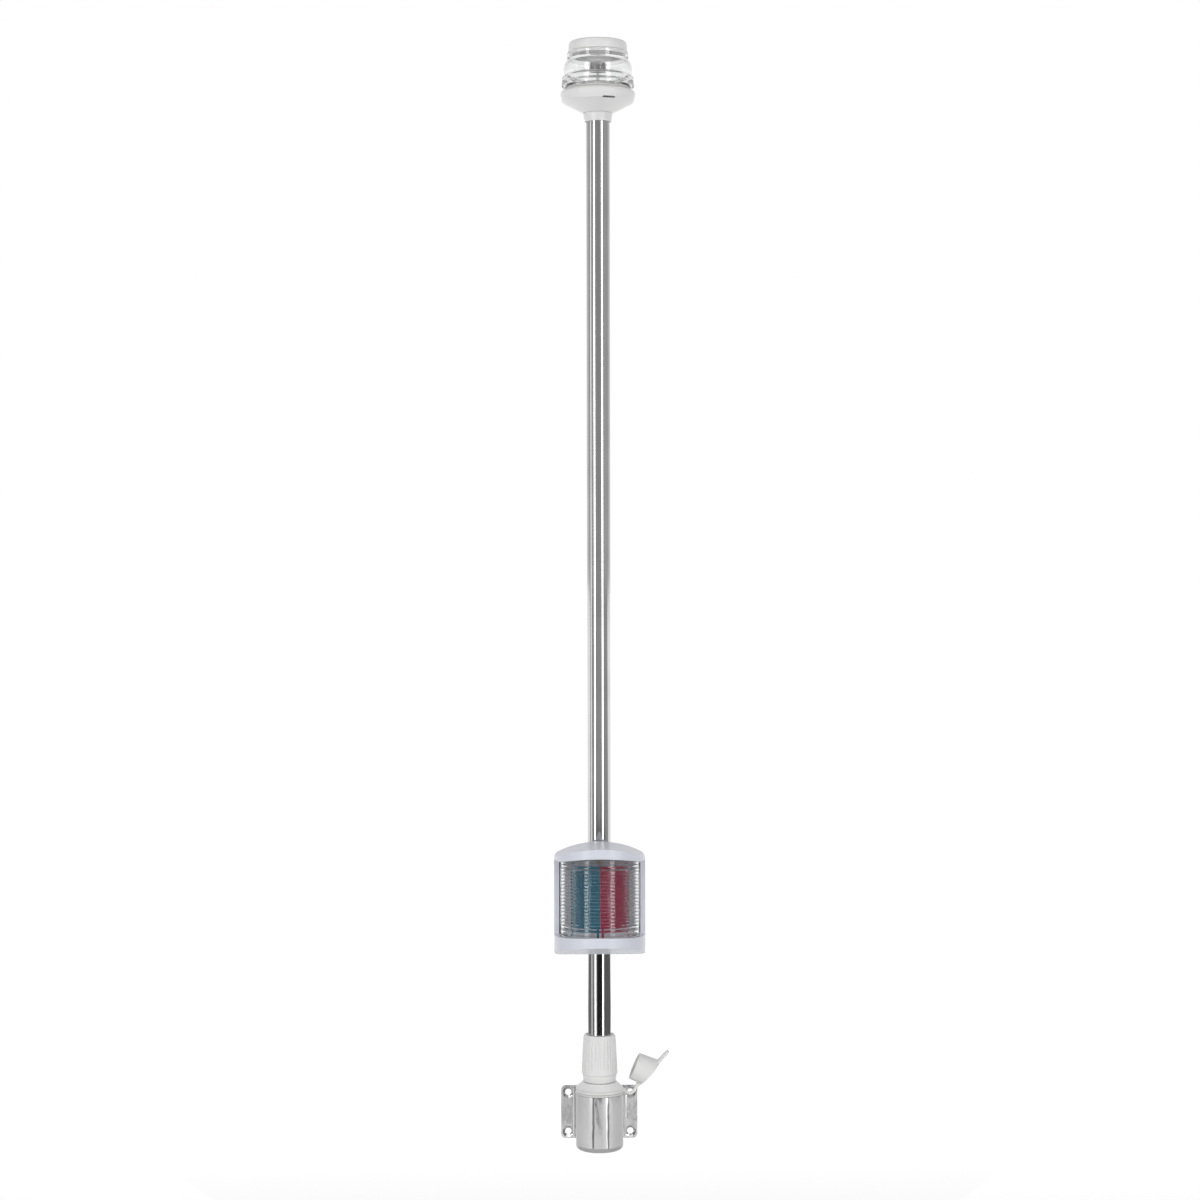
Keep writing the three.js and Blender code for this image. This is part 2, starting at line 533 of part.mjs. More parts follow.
// A dished base: a cone outside, a rim that carries the lens, and two bosses for the lamp plate.
function headBase() {
  const turned = lathe([
    [BASE.hole, BASE.bottom],
    [BASE.hole + 0.65, BASE.bottom],
    [BASE.coneR, BASE.coneTop],
    [BASE.coneR + 1.1, BASE.coneTop + 2.5],
    [BASE.maxR, BASE.maxZ],
    [BASE.maxR - 0.7, BASE.maxZ + 1.7],
    [BASE_RIM.r, BASE_RIM.z],
    [BASE_RIM.spigotR, BASE_RIM.z],
    [BASE_RIM.spigotR, BASE_RIM.spigotTop],
    [BASE_RIM.bore, BASE_RIM.spigotTop],
    [BASE_RIM.bore, BASE_RIM.floor + 7.3],
    [BASE.hole, BASE_RIM.floor],
  ]);
  const bossTop = LAMP_PLATE.bottom - GAP;
  const bosses = [-LAMP_SCREW.x, LAMP_SCREW.x].map((x) => rod(LAMP_PLATE.bossR, 13, bossTop, x));
  const pilots = [-LAMP_SCREW.x, LAMP_SCREW.x].map((x) =>
    rod(LAMP_SCREW.r + CLEAR_HOLE, bossTop - 4.5, bossTop + PAST, x));
  const slot = box(-SLOT.w / 2, SLOT.w / 2, -40, -SLOT.depthR, SLOT.bottom, SLOT.top);
  return cut(joined(turned, ...bosses), ...pilots, slot.rotateZ(SLOT.angle));
}

function lampParts() {
  const { r, bottom, top, cableR } = LAMP_PLATE;
  const seat = top + GAP;
  const screwHoles = [-LAMP_SCREW.x, LAMP_SCREW.x].map((x) =>
    rod(LAMP_SCREW.r + CLEAR_HOLE, bottom - PAST, top + PAST, x));
  const plate = cut(lathe([[0, bottom], [r, bottom], [r, top], [0, top]]),
    rod(cableR, bottom - PAST, top + PAST, 0, 0, 20), ...screwHoles);
  const screws = Object.entries({ left: -LAMP_SCREW.x, right: LAMP_SCREW.x }).map(([side, x]) => {
    const screw = lathe([
      [0, LAMP_SCREW.tip],
      [LAMP_SCREW.r, LAMP_SCREW.tip],
      [LAMP_SCREW.r, seat],
      [LAMP_SCREW.headR, seat],
      [LAMP_SCREW.crownR, seat + LAMP_SCREW.headH],
      [0, seat + LAMP_SCREW.crownH],
    ], SMALL_ROUND);
    return piece(`lamp_plate_screw_${side}`, screw.translate(x, 0, 0), STEEL);
  });
  const stemHole = LAMP.stemR + CLEAR_HOLE;
  const socket = lathe([
    [LAMP_SOCKET.bore, seat],
    [LAMP_SOCKET.r, seat],
    [LAMP_SOCKET.r, LAMP_SOCKET.top],
    [LAMP_SOCKET.r - 1.8, LAMP_SOCKET.top + 2],
    [stemHole + 1.4, LAMP_SOCKET.domeTop],
    [stemHole, LAMP_SOCKET.domeTop],
    [stemHole, LAMP_SOCKET.ceiling],
    [LAMP_SOCKET.bore, LAMP_SOCKET.ceiling],
  ], 32);
  const [low, high] = [LAMP.bottom, LAMP.top];
  const module = [[0, low], [LAMP.r, low], [LAMP.r, high], [0, high]];
  const bandR = LAMP.r + GAP;
  const [bandLow, bandHigh] = [low + LAMP.bandInset, high - LAMP.bandInset];
  const band = [[bandR, bandLow], [bandR + 0.5, bandLow], [bandR + 0.5, bandHigh], [bandR, bandHigh]];
  const lid = [[0, high + GAP], [LAMP.r, high + GAP], [LAMP.r - 0.5, high + 1.8], [0, high + 3.4]];
  const lockNut = lathe([
    [LOCK_NUT.bore, LOCK_NUT.bottom],
    [LOCK_NUT.r, LOCK_NUT.shoulder],
    [LOCK_NUT.r, LOCK_NUT.top],
    [LOCK_NUT.bore, LOCK_NUT.top],
  ]);
  return [
    piece("head_lock_nut", lockNut, WHITE),
    piece("lamp_plate", plate, WHITE),
    ...screws,
    piece("lamp_socket", socket, GREY),
    piece("lamp_stem", rod(LAMP.stemR, LAMP.stemBottom, low - GAP), STEEL),
    piece("lamp_module", lathe(module, 32), GREY),
    piece("lamp_band", lathe(band, 32), CLEAR),
    piece("lamp_lid", lathe(lid, 32), SOFT_WHITE),
  ];
}

// The clear lens: two ridges at its foot, a bulging belt round the lamp, a ridge at its top.
function headLens() {
  const belt = arcPoints(BELT.maxR - BELT.r, BELT.z, BELT.r, BELT.from, BELT.to, 8);
  const hollow = arcPoints(BELT_HOLLOW.x, BELT.z, BELT_HOLLOW.r, BELT_HOLLOW.from, BELT_HOLLOW.to, 6);
  return lathe([
    [HEAD_LENS.footBore, HEAD_LENS.foot],
    [LOW_RIDGE.footR, HEAD_LENS.foot],
    [LOW_RIDGE.r, LOW_RIDGE.bottom],
    [LOW_RIDGE.r, LOW_RIDGE.top],
    [HIGH_RIDGE.grooveR, HIGH_RIDGE.grooveZ],
    [HIGH_RIDGE.r, HIGH_RIDGE.bottom],
    [HIGH_RIDGE.r, HIGH_RIDGE.top],
    [LENS_WAIST.r, LENS_WAIST.z],
    ...belt,
    [LENS_CROWN.neckR, LENS_CROWN.neckZ],
    [LENS_CROWN.r, LENS_CROWN.bottom],
    [LENS_CROWN.r, LENS_CROWN.top],
    [LENS_CROWN.topR, HEAD_LENS.top],
    [HEAD_LENS.bore, HEAD_LENS.top],
    [HEAD_LENS.bore, HEAD_LENS.boreBottom],
    ...hollow,
    [HEAD_LENS.footBore, HEAD_LENS.footBoreTop],
  ]);
}

function headCap() {
  const { bottom, r, topR, top, wall, spigotR, spigot } = HEAD_CAP;
  return lathe([
    [0, top - wall],
    [spigotR - 2.5, top - wall],
    [spigotR - 2.5, bottom - spigot],
    [spigotR, bottom - spigot],
    [spigotR, bottom],
    [r, bottom],
    [r - 0.3, top - 3.8],
    [r - 0.8, top - 1.4],
    [topR, top],
    [0, top],
  ]);
}

function headParts() {
  const shank = rodAlongY(RIVET.r, TUBE.bore - 0.6, ADAPTER.r + 0.9, 0, RIVET.neckZ);
  const dome = rodAlongY(RIVET.headR, ADAPTER.r + 0.9, ADAPTER.r + 0.9 + RIVET.headT, 0, RIVET.neckZ);
  return [
    piece("neck_adapter", neckAdapter(), WHITE),
    piece("neck_rivet", joined(shank, dome), STEEL),
    piece("head_base", headBase(), WHITE),
    ...lampParts(),
    piece("head_seal", ring(SEAL.r, SEAL.z, SEAL.section), SILICONE),
    piece("head_lens", headLens(), CLEAR),
    piece("head_cap", headCap(), WHITE),
  ];
}

// ---- Sidelight ----------------------------------------------------------------------------
// The front outline: rounded lower corners, straight sides and an arched top.
function sideOutline(inset = 0) {
  const [x, z0] = [SIDE.w / 2 - inset, inset];
  const r = SIDE.corner - Math.min(inset, 3);
  const archR = SIDE.crownR - inset;
  const archX = SIDE.archX - inset;
  const archZ = SIDE.crown - SIDE.crownR;
  const a = Math.acos(archX / archR);
  const s = new THREE.Shape();
  s.absarc(x - r, z0 + r, r, -TURN / 4, 0);
  s.lineTo(x, SIDE.shoulder);
  s.quadraticCurveTo(x, SIDE.shoulder + 4.2, archX, archZ + archR * Math.sin(a));
  s.absarc(0, archZ, archR, a, TURN / 2 - a);
  s.quadraticCurveTo(-x, SIDE.shoulder + 4.2, -x, SIDE.shoulder);
  s.absarc(r - x, z0 + r, r, TURN / 2, (3 * TURN) / 4);
  return s;
}

// The outer form: the outline, a rounded front in plan, an underside that rises to the front.
function sideEnvelope() {
  const plan = new THREE.Shape();
  plan.moveTo(-SIDE.w / 2 - PAST, PAST);
  plan.lineTo(-SIDE.w / 2 - PAST, COVER.stripY);
  plan.lineTo(-SIDE.w / 2, COVER.stripY);
  plan.absellipse(0, COVER.stripY, SIDE.w / 2, SIDE.depth + COVER.stripY, TURN / 2, TURN);
  plan.lineTo(SIDE.w / 2 + PAST, COVER.stripY);
  plan.lineTo(SIDE.w / 2 + PAST, PAST);
  const top = SIDE.crown + 10;
  const front = -SIDE.depth - PAST;
  const rise = (y) => (UNDERSIDE.rise * (UNDERSIDE.y - y)) / (SIDE.depth + UNDERSIDE.y);
  const flank = carrySideways([
    [PAST, -PAST],
    [UNDERSIDE.y, -PAST],
    [UNDERSIDE.y, 0],
    [front, rise(front)],
    [front, top],
    [PAST, top],
  ], -SIDE.w, SIDE.w);
  return common(carry(sideOutline(), front, 0, 7), raise(plan, -PAST, top, 12), flank);
}

// The window's outline, or the lens's where it reaches further up and down.
function windowOutline(x, bottom, top, riseBottom, riseTop, reach) {
  const arch = (z, rise, dir) => {
    const r = (x * x + rise * rise) / (2 * rise);
    const a = Math.asin(x / r);
    const [from, to] = dir > 0 ? [TURN / 4 + a, TURN / 4 - a] : [TURN / 4 - a, TURN / 4 + a];
    s.absarc(0, z + rise - r, r, from, to, dir > 0);
  };
  const s = new THREE.Shape();
  s.moveTo(-reach, bottom);
  s.lineTo(-x, bottom);
  if (riseBottom > 0) arch(bottom, riseBottom, 1);
  s.lineTo(reach, bottom);
  s.lineTo(reach, top);
  arch(top, riseTop, -1);
  s.lineTo(-reach, top);
  return s;
}

// A half-round plan, open to the back, between two radii.
function halfRound(outer, inner, backY) {
  const s = new THREE.Shape();
  s.moveTo(-outer, backY);
  s.lineTo(-outer, LENS.centreY);
  s.absarc(0, LENS.centreY, outer, TURN / 2, TURN);
  s.lineTo(outer, backY);
  if (inner > 0) {
    s.lineTo(inner, backY);
    s.absarc(0, LENS.centreY, inner, TURN, TURN / 2, true);
    s.lineTo(-inner, backY);
  }
  return s;
}

function lensForm(grow, inner) {
  const outer = LENS.r + grow;
  const topEdge = WINDOW.top + LENS.over + grow;
  const front = windowOutline(outer, LENS.bottom - grow, topEdge, 0, WINDOW.riseTop, outer);
  return common(
    raise(halfRound(outer, inner, LENS.backY + (inner > 0 ? 0 : 3 * PAST)), 0, SIDE.crown, 14),
    carry(front, -SIDE.depth, 0, 7));
}

function sideHousing() {
  const tray = common(sideEnvelope(), box(-SIDE.w, SIDE.w, TRAY.front, PAST, -PAST, SIDE.crown + 10));
  const holes = [SIDE_SCREW.upper, SIDE_SCREW.lower].map((z) =>
    rodAlongY(SIDE_SCREW.r + CLEAR_HOLE, -TRAY.wall - PAST, PAST, 0, z));
  return cut(tray,
    carry(sideOutline(TRAY.wall), TRAY.front - PAST, -TRAY.wall, 5),
    rodAlongY(CABLE_R.side + 0.6, -TRAY.wall - PAST, PAST, 0, SIDE_CABLE_Z),
    ...holes);
}

// The front: a visor above the window, a chin below it, and a strip down each side.
function sideCover() {
  const front = -SIDE.depth - 2 * PAST;
  const shell = common(sideEnvelope(), box(-SIDE.w, SIDE.w, front, COVER.back, -PAST, SIDE.crown + 10));
  const opening = windowOutline(
    WINDOW.x, WINDOW.bottom, WINDOW.top, WINDOW.riseBottom, WINDOW.riseTop, SIDE.w);
  const chin = [
    [PAST, CHIN.low],
    [COVER.back - 2, CHIN.low],
    [CHIN.frontY, CHIN.high],
    [CHIN.frontY, CHIN.top],
    [PAST, CHIN.top],
  ];
  const lip = cut(
    carry(sideOutline(COVER.lipInset), COVER.back - 0.5, COVER.lipBack, 5),
    carry(sideOutline(COVER.lipInset + COVER.lipT), COVER.back - PAST, COVER.lipBack + PAST, 5));
  return cut(joined(shell, lip),
    carry(opening, front, COVER.stripY, 7),
    lensForm(LENS.slack, 0),
    carrySideways(chin, -CHIN.halfW, CHIN.halfW));
}

// One colour filter: a quarter-round shell with two feet on the chin.
function filter(side) {
  const { r, wall, bottom, top, backY, split } = FILTER;
  const { x: footX, w: footW } = FILTER_FOOT;
  const footBottom = LENS.bottom - LENS.slack + GAP;
  const shell = raise(halfRound(r, r - wall, backY), bottom, top, 10);
  const footRing = raise(halfRound(r, r - wall, backY), footBottom, bottom + PAST, 10);
  const feet = joined(
    box(footX - footW / 2, footX + footW / 2, -SIDE.depth, LENS.centreY, 0, top),
    box(0, SIDE.w, LENS.centreY - footW, LENS.centreY, 0, top));
  const half = box(split, SIDE.w, -SIDE.depth, 0, -PAST, SIDE.crown);
  const quarter = common(joined(shell, common(footRing, feet)), half);
  return quarter.scale(side, 1, 1);
}

function bulbParts() {
  const { z, length, r, glass, neckR, capR, tipR, taper } = BULB;
  const [low, high] = [z - glass / 2, z + glass / 2];
  const body = lathe([
    [0, low],
    [neckR, low],
    [r, low + taper],
    [r, high - taper],
    [neckR, high],
    [0, high],
  ], 20);
  const cap = (side) => {
    const [end, start] = [z + (side * length) / 2, z + side * (glass / 2 + GAP)];
    const profile = [[0, end], [tipR, end], [capR, end - side * taper], [capR, start], [0, start]];
    return lathe(profile, SMALL_ROUND);
  };
  const contact = (side) => {
    const { w, t, reach, foot } = BULB_CONTACT;
    const near = z + side * (length / 2 + GAP);
    const far = near + side * t;
    const back = REFLECTOR.front - GAP;
    const [z0, z1] = [Math.min(near, far), Math.max(near, far)];
    const [f0, f1] = [Math.min(near, near + side * foot), Math.max(near, near + side * foot)];
    return joined(box(-w / 2, w / 2, -reach, back, z0, z1), box(-w / 2, w / 2, back - t, back, f0, f1));
  };
  const atLamp = (g) => g.translate(0, LENS.centreY, 0);
  return [
    piece("side_bulb_glass", atLamp(body), CLEAR),
    piece("side_bulb_cap_upper", atLamp(cap(1)), STEEL),
    piece("side_bulb_cap_lower", atLamp(cap(-1)), STEEL),
    piece("side_contact_upper", contact(1), BRASS),
    piece("side_contact_lower", contact(-1), BRASS),
  ];
}

function poleSaddle() {
  const block = box(-SADDLE.w / 2, SADDLE.w / 2, SADDLE.front, SADDLE.back, SADDLE.bottom, SADDLE.top);
  const holes = [SIDE_SCREW.upper, SIDE_SCREW.lower].map((z) =>
    rodAlongY(SIDE_SCREW.r + CLEAR_HOLE, -PAST, SADDLE.back + PAST, 0, z));
  return cut(block,
    rod(TUBE.r + GAP, -PAST, SIDE.crown, 0, -SIDE_BACK_Y, ROUND),
    rodAlongY(GROMMET_R + 0.6, -PAST, SADDLE.back + PAST, 0, SIDE_CABLE_Z, 16),
    ...holes);
}

function sideParts() {
  const { r, headR, headT, tip } = SIDE_SCREW;
  const screw = (z) => {
    const seat = -TRAY.wall - GAP;
    return joined(rodAlongY(headR, seat - headT, seat, 0, z), rodAlongY(r, seat - headT / 2, tip, 0, z));
  };
  const { x, bottom, top, front, back } = REFLECTOR;
  const gasket = cut(
    carry(sideOutline(0.7), COVER.back + 0.15, TRAY.front - 0.15, 4),
    carry(sideOutline(2.3), COVER.back - PAST, TRAY.front + PAST, 4));
  const aboveSlope = box(-SIDE.w, SIDE.w, -SIDE.depth, PAST, UNDERSIDE.rise / 8, SIDE.crown);
  return [
    piece("pole_saddle", poleSaddle(), WHITE),
    piece("side_screw_upper", screw(SIDE_SCREW.upper), STEEL),
    piece("side_screw_lower", screw(SIDE_SCREW.lower), STEEL),
    piece("side_housing", sideHousing(), COOL_WHITE),
    piece("side_gasket", common(gasket, aboveSlope), RUBBER),
    piece("side_reflector", box(-x, x, front, back, bottom, top), SOFT_WHITE),
    ...bulbParts(),
    piece("side_cover", sideCover(), COOL_WHITE),
    piece("side_lens", lensForm(0, LENS.r - LENS.wall), CLEAR),
    piece("green_filter", filter(-1), GREEN),
    piece("red_filter", filter(1), RED),
  ];
}

// ---- The whole light ----------------------------------------------------------------------
const light = new THREE.Group();
light.add(
  piece("wall_bracket", wallBracket(), STEEL),
  placed(0, AXIS_Y, 0,
    ...socketParts(),
    piece("cap_strap_ring", capStrapRing(), SOFT_WHITE),
    piece("protective_cap", protectiveCap(), SOFT_WHITE),
    piece("pole_tube", poleTube(), STEEL),
    ...plugParts(),
    ...cables(),
    piece("thrust_washer", thrustWasher(), SOFT_WHITE),
    piece("ring_nut", ringNut(), WHITE)),
  placed(0, AXIS_Y, HEAD_Z, ...headParts()),
  placed(0, AXIS_Y + SIDE_BACK_Y, SIDE_Z, ...sideParts()));

export default light;
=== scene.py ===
"""A plug-in pole navigation light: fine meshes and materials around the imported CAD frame."""
import math

import bmesh
import bpy
from mathutils import Matrix, Vector


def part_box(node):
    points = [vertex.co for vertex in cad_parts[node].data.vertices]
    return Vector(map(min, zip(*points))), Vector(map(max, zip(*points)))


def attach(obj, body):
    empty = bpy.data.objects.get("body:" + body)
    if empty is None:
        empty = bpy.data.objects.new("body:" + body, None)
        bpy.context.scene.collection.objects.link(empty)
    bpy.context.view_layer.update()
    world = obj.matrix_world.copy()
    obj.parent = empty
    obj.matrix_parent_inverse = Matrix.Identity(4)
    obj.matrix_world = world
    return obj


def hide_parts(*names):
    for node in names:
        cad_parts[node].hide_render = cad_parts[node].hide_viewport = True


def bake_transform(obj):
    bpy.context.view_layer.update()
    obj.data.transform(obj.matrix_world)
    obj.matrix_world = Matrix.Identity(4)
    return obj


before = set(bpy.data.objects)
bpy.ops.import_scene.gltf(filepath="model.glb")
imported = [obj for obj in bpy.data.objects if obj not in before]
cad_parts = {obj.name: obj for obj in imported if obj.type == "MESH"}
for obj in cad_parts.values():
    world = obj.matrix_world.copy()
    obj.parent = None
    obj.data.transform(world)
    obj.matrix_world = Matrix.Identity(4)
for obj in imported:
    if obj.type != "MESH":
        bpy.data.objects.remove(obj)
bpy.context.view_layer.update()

MM = 0.001
TURN = 2 * math.pi
TINY = 1e-6

# ---- Places taken from the frame (millimetres) -------------------------------------------


def span(node):
    """A CAD node's lowest and highest corners, in millimetres."""
    low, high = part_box(node)
    return low / MM, high / MM


def middle(node):
    """A CAD node's middle in x and y, its foot and its top."""
    low, high = span(node)
    return ((low.x + high.x) / 2, (low.y + high.y) / 2), low.z, high.z


tube_low, tube_high = span("pole_tube")
AXIS_Y = (tube_low.y + tube_high.y) / 2
TUBE_R = (tube_high.x - tube_low.x) / 2
HEAD_Z = span("neck_adapter")[0].z
SIDE_Z = span("side_housing")[0].z
SIDE_BACK_Y = span("side_housing")[1].y

# ---- Mesh helpers ------------------------------------------------------------------------

CORNER_SHARE = 0.48
NEARLY_STRAIGHT = math.radians(176)
SOFT_ANGLE = math.radians(32)


def shade(obj, smooth_angle=35):
    """Smooth shading with edges above an angle kept sharp."""
    obj.data.shade_smooth()
    obj.data.set_sharp_from_angle(angle=math.radians(smooth_angle))


def mesh_object(name, points, faces, smooth_angle=35):
    """A mesh object from points in millimetres."""
    mesh = bpy.data.meshes.new(name)
    mesh.from_pydata([Vector(p) * MM for p in points], [], faces)
    mesh.validate()
    mesh.update()
    obj = bpy.data.objects.new(name, mesh)
    bpy.context.scene.collection.objects.link(obj)
    shade(obj, smooth_angle)
    return obj


def box(u0, v0, u1, v1):
    """A rectangle's corners."""
    return [(u0, v0), (u1, v0), (u1, v1), (u0, v1)]


def fillet(points, radius, steps=4, closed=True):
    """An outline with its corners rounded. A point may carry its own radius as a third value."""
    out = []
    count = len(points)
    for i, point in enumerate(points):
        here = Vector(point[:2])
        own = point[2] if len(point) > 2 else radius
        before = Vector(points[i - 1][:2]) - here
        after = Vector(points[(i + 1) % count][:2]) - here
        end_point = not closed and i in (0, count - 1)
        if end_point or own <= 0 or min(before.length, after.length) < TINY:
            out.append(here)
            continue
        angle = before.angle(after)
        if angle > NEARLY_STRAIGHT:
            out.append(here)
            continue
        reach = min(own / math.tan(angle / 2), before.length * CORNER_SHARE, after.length * CORNER_SHARE)
        start = here + before.normalized() * reach
        end = here + after.normalized() * reach
        for k in range(steps + 1):
            t = k / steps
            out.append(start * (1 - t) ** 2 + here * 2 * t * (1 - t) + end * t * t)
    return [(p.x, p.y) for p in out]


def eased(points, radius, steps=4):
    """An open line with its corners rounded."""
    return fillet(points, radius, steps, closed=False)


def arc(centre_u, centre_v, radius, start, end, steps):
    """Points along an arc; angles in turns."""
    points = []
    for i in range(steps + 1):
        a = TURN * (start + (end - start) * i / steps)
        points.append((centre_u + radius * math.cos(a), centre_v + radius * math.sin(a)))
    return points


def outward(obj):
    """Turns a closed mesh's faces out."""
    bm = bmesh.new()
    bm.from_mesh(obj.data)
    bmesh.ops.recalc_face_normals(bm, faces=bm.faces)
    if bm.calc_volume(signed=True) < 0:
        bmesh.ops.reverse_faces(bm, faces=bm.faces)
    bm.to_mesh(obj.data)
    bm.free()
    return obj


def lathe(name, profile, segments=128, centre=None, z0=0, smooth_angle=35, wobble=None):
    """Turns an (r, z) profile about a vertical axis. It starts and ends on the axis or is closed."""
    x, y = centre or (0, AXIS_Y)
    points, faces, rings = [], [], []
    for r, z in profile:
        count = segments if r > TINY else 1
        rings.append(range(len(points), len(points) + count))
        for i in range(count):
            a = TURN * i / segments
            radius = r + (wobble(r, z, a) if wobble and count > 1 else 0)
            points.append((x + radius * math.cos(a), y + radius * math.sin(a), z + z0))
    pairs = list(zip(rings, rings[1:]))
    if profile[0][0] > TINY:
        pairs.append((rings[-1], rings[0]))
    for low, high in pairs:
        for i in range(segments):
            j = (i + 1) % segments
            if len(low) > 1 and len(high) > 1:
                faces.append((low[i], low[j], high[j], high[i]))
            elif len(high) > 1:
                faces.append((low[0], high[j], high[i]))
            elif len(low) > 1:
                faces.append((low[i], low[j], high[0]))
    return outward(mesh_object(name, points, faces, smooth_angle))


def rod(r, low, high, segments=40, centre=None, z0=0):
    """A plain cylinder that cuts or joins."""
    return lathe("rod", box(0, low, r, high), segments, centre, z0)


def loft(name, sections, smooth_angle=35, ring=False):
    """Joins equal rings of 3-D points into a tube, closed at its ends or on itself."""
    count = len(sections[0])
    points = [p for section in sections for p in section]
    faces = []
    for k in range(len(sections) if ring else len(sections) - 1):
        a = k * count
        b = (k + 1) % len(sections) * count
        for i in range(count):
            j = (i + 1) % count
            faces.append((a + i, a + j, b + j, b + i))
    if not ring:
        faces.append(tuple(reversed(range(count))))
        faces.append(tuple(range(len(points) - count, len(points))))
    return outward(mesh_object(name, points, faces, smooth_angle))


def prism(name, outline, low, high, across):
    """An outline of (u, v) carried along the axis that it doesn't use."""
    place = {
        "x": lambda u, v, w: (w, u, v),
        "y": lambda u, v, w: (u, w, v),
        "z": lambda u, v, w: (u, v, w),
    }[across]
    return loft(name, [[place(u, v, w) for u, v in outline] for w in (low, high)])


def moved(obj, matrix):
    obj.data.transform(matrix)
    return obj


def shifted(obj, x, y, z):
    return moved(obj, Matrix.Translation(Vector((x, y, z)) * MM))


def laid(obj, x, y, z, back=False):
    """Lays a piece turned on the z axis along y, pointing to the front or the back."""
    turn = -TURN / 4 if back else TURN / 4
    return shifted(moved(obj, Matrix.Rotation(turn, 4, "X")), x, y, z)


def cross_drill(r, near, far, y, z, back=False):
    """A round cutter along y, from a near to a far distance off y."""
    return laid(rod(r, near, far, centre=(0, 0)), 0, y, z, back)


def baked(obj):
    """Applies an object's modifiers."""
    graph = bpy.context.evaluated_depsgraph_get()
    mesh = bpy.data.meshes.new_from_object(obj.evaluated_get(graph))
    obj.modifiers.clear()
    obj.data = mesh
    return obj


def boolean(obj, tools, operation="DIFFERENCE"):
    """Cuts, joins or intersects with tools, which are used up."""
    for tool in tools:
        step = obj.modifiers.new("boolean", "BOOLEAN")
        step.operation = operation
        step.solver = "EXACT"
        step.object = tool
        baked(obj)
        bpy.data.objects.remove(tool)
    return obj


def softened(obj, width, segments=3):
    """Rounds a mesh's sharp edges."""
    step = obj.modifiers.new("bevel", "BEVEL")
    step.width = width * MM
    step.segments = segments
    step.limit_method = "ANGLE"
    step.angle_limit = SOFT_ANGLE
    step.miter_outer = "MITER_ARC"
    baked(obj)
    shade(obj, 50)
    return obj


# ---- Materials ---------------------------------------------------------------------------


def finish_piece(obj, material, body, *nodes):
    """Gives a piece its material and the body it rides on, and hides the CAD nodes it stands for."""
    obj.modifiers.new("flat faces stay flat", "WEIGHTED_NORMAL").keep_sharp = True
    baked(obj)
    obj.data.materials.clear()
    obj.data.materials.append(material)
    if body:
        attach(obj, body)
    # The frame's materials have these names already, so Blender adds a number after a dot.
    if nodes:
        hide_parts(*nodes)


class Nodes:
    """A material with a Principled shader, and short ways to add texture nodes to it."""

    def __init__(self, name, **sockets):
        self.material = bpy.data.materials.new(name)
        self.material.use_nodes = True
        self.tree = self.material.node_tree
        self.shader = self.tree.nodes["Principled BSDF"]
        self.fill(self.shader, sockets)
        self.position = self.add("TexCoord").outputs["Object"]

    def fill(self, node, sockets):
        for socket, value in sockets.items():
            node.inputs[socket.replace("_", " ")].default_value = value

    def add(self, kind, **sockets):
        node = self.tree.nodes.new("ShaderNode" + kind)
        self.fill(node, sockets)
        return node

    def link(self, out, into):
        self.tree.links.new(out, into)

    def noise(self, scale, detail=2.0, roughness=0.5, stretch=(1, 1, 1)):
        mapping = self.add("Mapping", Scale=stretch)
        self.link(self.position, mapping.inputs["Vector"])
        noise = self.add("TexNoise", Scale=scale, Detail=detail, Roughness=roughness)
        self.link(mapping.outputs["Vector"], noise.inputs["Vector"])
        return noise.outputs["Fac"]

    def spread(self, value, low, high, from_low=0.3, from_high=0.7):
        """Maps a texture's value to a range."""
        node = self.add("MapRange", From_Min=from_low, From_Max=from_high, To_Min=low, To_Max=high)
        self.link(value, node.inputs["Value"])
        return node.outputs["Result"]

    def tint(self, value, dark, light):
        """Mixes two colours by a texture's value."""
        ramp = self.add("ValToRGB")
        for mark, place, color in zip(ramp.color_ramp.elements, (0.3, 0.7), (dark, light)):
            mark.position = place
            mark.color = (*color, 1)
        self.link(value, ramp.inputs["Fac"])
        self.link(ramp.outputs["Color"], self.shader.inputs["Base Color"])

    def rough(self, value, low, high):
        """Drives the roughness by a texture's value."""
        self.link(self.spread(value, low, high), self.shader.inputs["Roughness"])

    def bump(self, value, distance, strength=1.0):
        """Adds relief, in millimetres, on top of any relief already there."""
        node = self.add("Bump", Strength=strength, Distance=distance * MM)
        self.link(value, node.inputs["Height"])
        if self.shader.inputs["Normal"].is_linked:
            self.link(self.shader.inputs["Normal"].links[0].from_socket, node.inputs["Normal"])
        self.link(node.outputs["Normal"], self.shader.inputs["Normal"])


def polished_steel(name, waves=0.0):
    """Mirror-polished stainless steel with faint lengthwise lines and a pressed sheet's waves."""
    m = Nodes(name, Metallic=1.0)
    lines = m.noise(420, 3, 0.6, (1, 1, 0.02))
    clouds = m.noise(28, 3, 0.5)
    m.tint(clouds, (0.56, 0.56, 0.56), (0.63, 0.63, 0.63))
    m.rough(lines, 0.045, 0.11)
    m.bump(lines, 0.0015)
    if waves:
        m.bump(m.noise(70, 3, 0.6, (1, 1, 0.35)), waves)
    return m.material


def satin_steel(name):
    """Turned stainless steel of small screws and rivets."""
    m = Nodes(name, Metallic=1.0)
    rings = m.noise(900, 3, 0.7, (1, 1, 0.2))
    m.tint(rings, (0.50, 0.50, 0.50), (0.62, 0.62, 0.62))
    m.rough(rings, 0.22, 0.38)
    m.bump(rings, 0.01)
    return m.material


